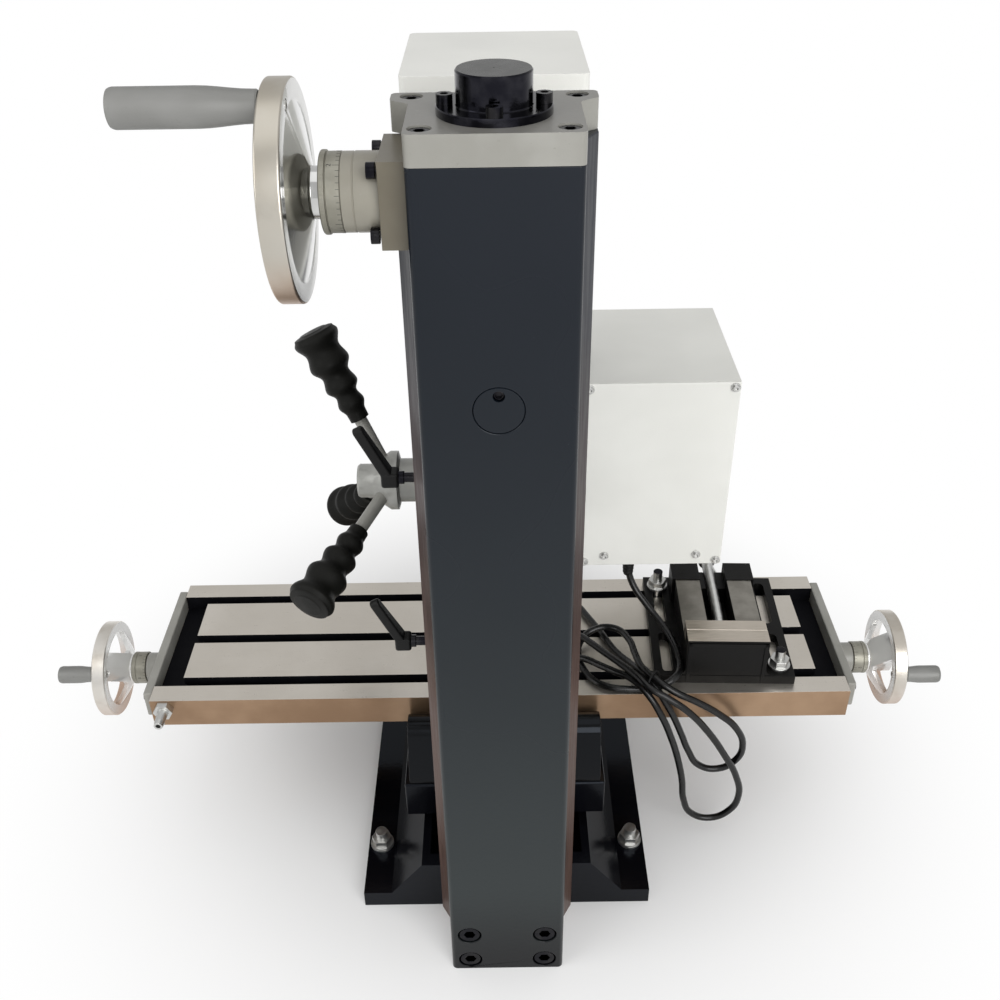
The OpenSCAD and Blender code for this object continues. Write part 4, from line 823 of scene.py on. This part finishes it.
finishes["bronze"] = cloudy("cast_bronze", 50, (0.42, 0.27, 0.12), (0.6, 0.42, 0.2), 0.32, 0.46, (800, 3),
    0.00006, metallic=1.0)
finishes["black_rubber"] = rubber()
saddle = eased("saddle", 2.2, "black_paint", "saddle", rings=3)
painted_or_bare(saddle, "black_paint", "ways_across", lambda c, n: c.z > 114.5)
eased("feed_nuts", 0.6, "bronze", "saddle")
finishes["guard"] = enamel("oiled_black_sheet", (0.002, 0.0016, 0.0012), (0.004, 0.003, 0.002), 0.1, 0.22,
    120, 0.00008)
eased("way_guard", 0.8, "black_rubber", "saddle", rings=3, finish="guard")
eased("y_bearing_plate", 1.2, "black_paint", "frame", rings=3)


def socket_screw(name, way, spot, body):
    """The head of an M6 socket screw, standing on a face."""
    head = turned(name, [(0, 0.2), (4.6, 0.2), (5, 0.6), (5, 4.6), (4.6, 5), (2.6, 5), (2.4, 2.4),
        (0, 2.4)], way, spot, 32)
    dress(soften(head, 0), "black_oxide", body)


for x in (-31, 31):
    for z in (47, 81):
        socket_screw("plate_screw", "front", (x, -237, z), "frame")


# Table: cast iron, ground warm grey on top and orange-brown on its flanks, with three T-slots that end in
# gutters, their walls near black: dark iron with painted shade. Grey end plates carry its leadscrew, and a
# zinc spigot drains it.
def oiled_top():
    f = Finish("ground_table_top", metallic=0.9)
    lines, cross = f.noise(1100, 3, 0.6, (0.05, 1, 1)), f.noise(700, 3, 0.6, (1, 0.08, 1))
    cloud, stain = f.noise(9, 4), f.noise(38, 5, 0.62)
    shade = f.mix(f.step(cloud, 0.3, 0.7), (0.6, 0.56, 0.5), (0.68, 0.64, 0.58))
    f.color(f.mix(f.step(stain, 0.62, 0.76) * 0.2, f.mix(f.step(lines, 0.4, 0.65) * 0.12, shade,
        (0.72, 0.68, 0.62)), (0.45, 0.41, 0.35)))
    f.put("Roughness", f.step(lines + cross * 0.5, 0.4, 1.1, 0.26, 0.44))
    f.bump(lines * 0.6 + cross * 0.4, 0.00006)
    return f.material


finishes["ground_steel"] = oiled_top()
finishes["table_flank"] = lined("oiled_table_flank", 11, (0.26, 0.16, 0.092), (0.4, 0.265, 0.165),
    (1000, 3, 0.6, (0.05, 1, 1)), 0.28, 0.42, 0.00006, metallic=0.75, coat_weight=0.15, coat_roughness=0.3)
finishes["slot_dark"] = cloudy("slot_walls_painted_shade", 60, (0.003, 0.003, 0.004), (0.006, 0.006, 0.008), 0.55,
    0.75, (900, 4), 0.00015, specular_ior_level=0.06)
table = eased("table", 0.6, "ground_steel", "table")
table.data.materials.append(finishes["table_flank"])
table.data.materials.append(finishes["slot_dark"])
# Slot walls and gutters get the near-black finish: dark iron with painted shade.
for face in table.data.polygons:
    c, n = face.center * 1000, face.normal
    inside = abs(c.y - 27) < 91.5 and abs(c.x - 4) < 349
    face.material_index = 0 if c.z > 184.3 else 2 if inside and (n.z > -0.5 or c.z > 152.5) else 1

eased("end_plates", 1.6, "grey_paint", "table", rings=3)
for way, far in (("right", 363), ("left", -355)):
    for y in (-39, 93):
        socket_screw("end_screw", way, (far, y, 168), "table")
eased("drain_spigot", 0.4, "zinc", "table")


# Vise: black rough-cast base with two long clamping slots, a raised end block, ground rails and
# ground jaw plates, a zinc-plated screw with a cross bar, and two studs with flanged nuts.
def rough_cast():
    f = Finish("rough_black_casting", specular_ior_level=0.15)
    lumps, cloud = f.noise(420, 4, 0.65), f.noise(40, 3)
    dust = f.step(f.noise(700, 4, 0.7), 0.68, 0.78)
    f.color(f.mix(dust * 0.25, f.mix(cloud, (0.003, 0.003, 0.003), (0.006, 0.0055, 0.005)),
        (0.15, 0.14, 0.125)))
    f.put("Roughness", f.step(cloud, 0.3, 0.7, 0.36, 0.5))
    f.bump(lumps, 0.0002)
    return f.material


def milled_arcs():
    """Steel milled flat: faint arcs of the cutter, one behind the other along Y."""
    f = Finish("milled_steel", metallic=1.0)
    spot = f.node("ShaderNodeVectorMath", {"operation": "ADD"}, {0: f.place, 1: (0.225, 0.4, 0)})
    arcs = f.node("ShaderNodeTexWave", {"wave_type": "RINGS", "rings_direction": "Z"},
        {"Vector": spot, "Scale": 130, "Distortion": 2.5, "Detail": 3, "Detail Scale": 0.6}, out=1)
    cloud = f.noise(45, 3)
    shade = f.mix(f.step(cloud, 0.3, 0.7), (0.2, 0.188, 0.165), (0.31, 0.295, 0.262))
    f.color(f.mix(arcs * 0.3, shade, (0.32, 0.305, 0.275)))
    f.put("Roughness", f.step(arcs, 0.0, 1.0, 0.3, 0.42))
    f.bump(arcs, 0.00003)
    return f.material


finishes["cast_black"] = rough_cast()
finishes["milled_steel"] = milled_arcs()
finishes["jaw_steel"] = ground_finish("ground_jaw_steel", (0.47, 0.42, 0.355), (0.58, 0.525, 0.455),
    (0.06, 1, 1), 0.28, 0.42)
vise_place = Matrix.Translation(mm(-225, 30.6, 185)) @ Matrix.Rotation(radians(-2.2), 4, "Z")


def on_vise(piece):
    piece.data.transform(vise_place)
    return piece


def in_vise(c):
    """A point of the table, in the vise's own place, in millimetres."""
    return (vise_place.inverted() @ (c / 1000)) * 1000


casting = eased("vise_body", 1.4, "vise_iron", "table", rings=3, finish="cast_black")
painted_or_bare(casting, "cast_black", "milled_steel", lambda c, n: n.z > 0.8 and 224.4 < c.z < 226)
casting.data.materials.append(finishes["jaw_steel"])
for face in casting.data.polygons:
    if face.center.z > 0.2394 and face.normal.z > 0.8:
        face.material_index = 2
ribs = [block("block_rib", (x, 74.2, 2), (x + 3.5, 75.6, 52)) for x in (-39, 35.5)]
ribs.append(block("block_rib", (-39, 74.2, 48.5), (39, 75.6, 52)))
fillet = [(0, 0), (9, 0)] + arc(9, 9, 9, 255, 179, -15)
for x, side in ((40, 1), (-40, -1)):
    ribs.append(plate("block_flare", [(a * side, b) for a, b in fillet], 16, "front", (x, 74.4, 10)))
end_block = block("end_block", (-43.4, -70.4, 1), (43.4, -41.6, 41.2))
cut(end_block, block("notch", (-13.8, -80, 28.2), (13.8, -30, 50)),
    rod("bore", 6.8, -50, 50, "front", (0, -56, 28)))
dress(on_vise(soften(joined("vise_block_lines", *ribs, end_block), 0.7, 2)), "vise_iron", "table",
    finish="cast_black")
eased("vise_jaw", 0.5, "vise_iron", "vise_jaw", finish="jaw_steel")
ridges = [(0, 0)]
for k in range(74):
    ridges += [(5.3, 2 * k + 0.1), (6, 2 * k + 0.6), (6, 2 * k + 1.2), (5.3, 2 * k + 1.7)]
screw = turned("vise_screw_thread", ridges + [(6, 149.4), (0, 149.4)], "front", (0, 52.2, 28), 40)
collar = turned("vise_screw_collar", [(0, 0), (8.4, 0), (9, 0.6), (9, 9.4), (8.4, 10), (0, 10)], "front",
    (0, -87.7, 28), 48)
bar = turned("vise_bar", [(0, -25), (2.4, -25), (3, -24.4), (3, 24.4), (2.4, 25), (0, 25)], steps=32)
bar.data.transform(Matrix.Translation(mm(0, -93, 28)) @ Matrix.Rotation(radians(30), 4, "Y"))
screw = joined("vise_screw_parts", soften(screw, 0, angle=60), soften(collar, 0), soften(bar, 0))
dress(on_vise(screw), "zinc", "vise_screw", "vise_screw")
bolts = eased("vise_bolts", 0.4, "zinc", "table")
painted_or_bare(bolts, "zinc", "black_oxide", lambda c, n: c.z > 206.3 or c.z < 190)


# Head: sliding carriage in gloss blue-black enamel with the bronze nut of the leadscrew, and the
# head casting in blue-grey enamel.
eased("head_slide", 1.4, "black_paint", "head", rings=3)
eased("z_nut", 0.6, "bronze", "head")
eased("head_casting", 1.6, "dark_paint", "head", rings=3)


# Motor cover: folded sheet steel with welded rounded corners, off-white powder coat. Inside stand
# the motor, two aluminium pulleys and a belt, and under them the quill with the steel spindle.
def powder_coat():
    f = Finish("off_white_powder_coat", coat_weight=0.1, coat_roughness=0.25, specular_ior_level=0.4)
    cloud, dust = f.noise(10, 3), f.step(f.noise(480, 4, 0.7), 0.68, 0.76)
    f.color(f.mix(dust * 0.15, f.mix(f.step(cloud, 0.3, 0.7), (0.75, 0.75, 0.71), (0.8, 0.8, 0.76)),
        (0.5, 0.48, 0.43)))
    f.put("Roughness", f.step(cloud, 0.3, 0.7, 0.34, 0.46))
    f.bump(f.noise(1300, 2), 0.0001)
    return f.material


finishes["cover_paint"] = powder_coat()
hood_edge = arc(62.5, 111, 5, 0, 91, 15)
hood_edge += [(-x, y) for x, y in hood_edge[::-1]]
hood_edge += [(x, 88 - y) for x, y in hood_edge[::-1]]
hood = plate("motor_hood", hood_edge, 178, spot=(0, 0, 600))
cut(hood, block("inside", (-65.5, -26, 590), (65.5, 114, 776)))
soften(hood, 1.6, 4)
dress(hood, "cover_paint", "head", "motor_cover")
eased("motor", 0.8, "black_paint", "head")
eased("motor_pulley", 0.4, "aluminium", "motor_drive", finish="polished_high")
eased("spindle_pulley", 0.4, "aluminium", "spindle_drive", finish="polished_high")
eased("drive_belt", 0.3, "black_rubber", "head")
eased("quill", 0.5, "steel", "quill")
eased("spindle_bearings", 0.4, "steel", "quill")
eased("spindle", 0.5, "steel", "spindle")


# Quill feed: grey hub on the head's side with three grey arms, each with a black rubber grip of
# four soft bulges that grow towards its end.
finishes["hub_grey"] = cloudy("grey_cast_hub", 40, (0.3, 0.3, 0.28), (0.42, 0.42, 0.395), 0.34, 0.46,
    (600, 3), 0.0001, edge=0.3, metallic=0.35, coat_weight=0.2, coat_roughness=0.25)
eased("feed_hub", 0.6, "grey_paint", "feed", finish="hub_grey")
eased("feed_arms", 0.4, "grey_paint", "feed")
shape = ((0, 8.8), (7, 9), (16, 12.3), (25, 10.2), (34, 15.2), (45, 12.8), (56, 18.5), (68.5, 15.8),
    (81, 20.8), (86, 18.5), (88, 12))
grip_side = [(6.05, 0)]
for (z0, r0), (z1, r1) in zip(shape, shape[1:]):
    grip_side += [(r0 + (r1 - r0) * (1 - cos(pi * k / 8)) / 2, z0 + (z1 - z0) * k / 8) for k in range(8)]
grip_side += [(12, 88), (0, 88.3)]
grips = []
for k in range(3):
    grip = turned("feed_grip", [(x, y + 65) for x, y in grip_side] + [(0, 145), (6.05, 145), (6.05, 65)],
        steps=64)
    grip.data.transform(Matrix.Rotation(radians(65), 4, "Y"))
    grips.append(soften(lay(grip, "right", (98, 72, 413), 104.3 + 120 * k), 0, angle=50))
dress(joined("feed_grips_soft", *grips), "black_rubber", "feed", "feed_grips")

# Clamping levers: black plastic arm with a groove along its face, on a square hub with a black
# oxide stud.
for name, body, z in (("lock_lever_upper", "upper_lock", 496), ("lock_lever_lower", "lower_lock", 327)):
    tip = arc(0, 46.6, 4.2, 180, -1, -15)
    arm = plate("lever_arm", [(6.6, 0), (-6.6, 0)] + tip, 8.4, spot=(0, 0, -4.2))
    groove = arc(0, 44, 2, 180, -1, -30)
    soften(arm, 1.8, 4)
    cut(arm, plate("groove", [(2.2, 14), (-2.2, 14)] + groove, 4, spot=(0, 0, 2.4)))
    arm.data.transform(Matrix.Translation(mm(0, 0, 20)) @ Matrix.Rotation(radians(27), 4, "X"))
    hub = soften(block("lever_hub", (-7, -6.4, 13), (7, 6.6, 27)), 2.4, 4)
    soften(arm, 0)
    dress(lay(joined(name + "_arm", arm, hub), "right", (66, 196, z)), "black_plastic", body, name)
    stud = turned(name + "_stud", [(0, -6), (4, -6), (4, 9), (5, 9), (5.3, 9.4), (5.3, 13.4), (0, 13.4)],
        "right", (66, 196, z), 40)
    dress(soften(stud, 0), "black_plastic", body, finish="black_oxide")


# Control box: folded sheet steel case beside the head, off-white, with a screwed rear cover. In
# front are a red stop button and a black speed knob.
eased("control_box", 0.8, "cover_paint", "head", rings=3)
lid = block("box_lid", (-217.5, 45, 292), (-76.5, 47, 495.5))
dress(soften(lid, 0.8, 3), "cover_paint", "head", "box_cover")
eased("box_screws", 0.3, "zinc", "head")


finishes["red_plastic"] = cloudy("red_plastic", 60, (0.42, 0.012, 0.01), (0.58, 0.025, 0.018), 0.22, 0.34,
    (700, 2), 0.00004, specular_ior_level=0.5)
button = turned("stop_mushroom", [(0, -14), (10.7, -14), (10.7, 5.8), (16, 6), (18.4, 7), (19, 9.4),
    (18.6, 13), (16.4, 16), (12, 17.6), (0, 18)], "front", (-121.5, -112.3, 442), 96)
dress(soften(button, 0, angle=40), "red_plastic", "stop", "stop_button")
eased("speed_knob", 0.8, "black_plastic", "speed", rings=3)

# Stage: a pale floor that holds the shadow and fades to white away from the machine, a white
# world, and three large soft lamps.
def pale_floor():
    f = Finish("pale_floor", roughness=0.9)
    f.color(f.mix(f.noise(6, 2), (0.88, 0.88, 0.88), (0.9, 0.9, 0.895)))
    glow = f.node("ShaderNodeEmission", None, {"Color": (1, 1, 1, 1), "Strength": 1.0})
    away = f.node("ShaderNodeVectorMath", {"operation": "LENGTH"}, {0: f.place}, out=1)
    ray = f.node("ShaderNodeLightPath", out="Is Camera Ray")
    shiny = f.node("ShaderNodeLightPath", out="Is Glossy Ray")
    share = f.step(away, 0.16, 0.6) * ray.math("MAXIMUM", ray, shiny)
    mixed = f.node("ShaderNodeMixShader", None, {0: share, 2: glow})
    f.tree.links.new(f.shader.outputs[0], mixed.socket.node.inputs[1])
    f.tree.links.new(mixed.socket, f.tree.nodes["Material Output"].inputs[0])
    return f.material


deselect()
bpy.ops.mesh.primitive_plane_add(size=14)
floor = bpy.context.object
floor.name = "floor"
floor.data.materials.append(pale_floor())

world = bpy.data.worlds.new("studio")
bpy.context.scene.world = world
world.use_nodes = True


class Sky(Finish):
    """The world's nodes, made as a finish's are."""

    def __init__(self, tree):
        self.tree = tree


sky = Sky(world.node_tree)
camera_ray, clear_ray, shiny_ray = [sky.node("ShaderNodeLightPath", out="Is %s Ray" % kind)
    for kind in ("Camera", "Transmission", "Glossy")]
shine = sky.node("ShaderNodeMapRange", None, {"Value": shiny_ray, "To Min": 0.5, "To Max": 0.68})
level = sky.node("ShaderNodeMapRange", None,
    {"Value": camera_ray.math("MAXIMUM", camera_ray, clear_ray), "To Min": shine, "To Max": 1.0})
background = world.node_tree.nodes["Background"]
world.node_tree.links.new(level.socket, background.inputs["Strength"])
background.inputs["Color"].default_value = (1, 1, 1, 1)

for name, place, aim, size, power in (("key", (-1.1, 2.9, 1.7), (0, 0.1, 0.3), 2.4, 72),
        ("fill", (2.2, 1.3, 1.8), (0, 0.1, 0.35), 1.8, 20),
        ("top", (0, 0.2, 3.0), (0, 0.1, 0.3), 2.2, 9)):
    lamp = bpy.data.lights.new(name, "AREA")
    lamp.shape = "SQUARE"
    lamp.size = size
    lamp.energy = power
    light = bpy.data.objects.new(name, lamp)
    facing = (Vector(aim) - Vector(place)).to_track_quat("-Z", "Y").to_matrix().to_4x4()
    light.matrix_world = Matrix.Translation(place) @ facing
    bpy.context.scene.collection.objects.link(light)

bpy.context.scene.view_settings.view_transform = "Standard"
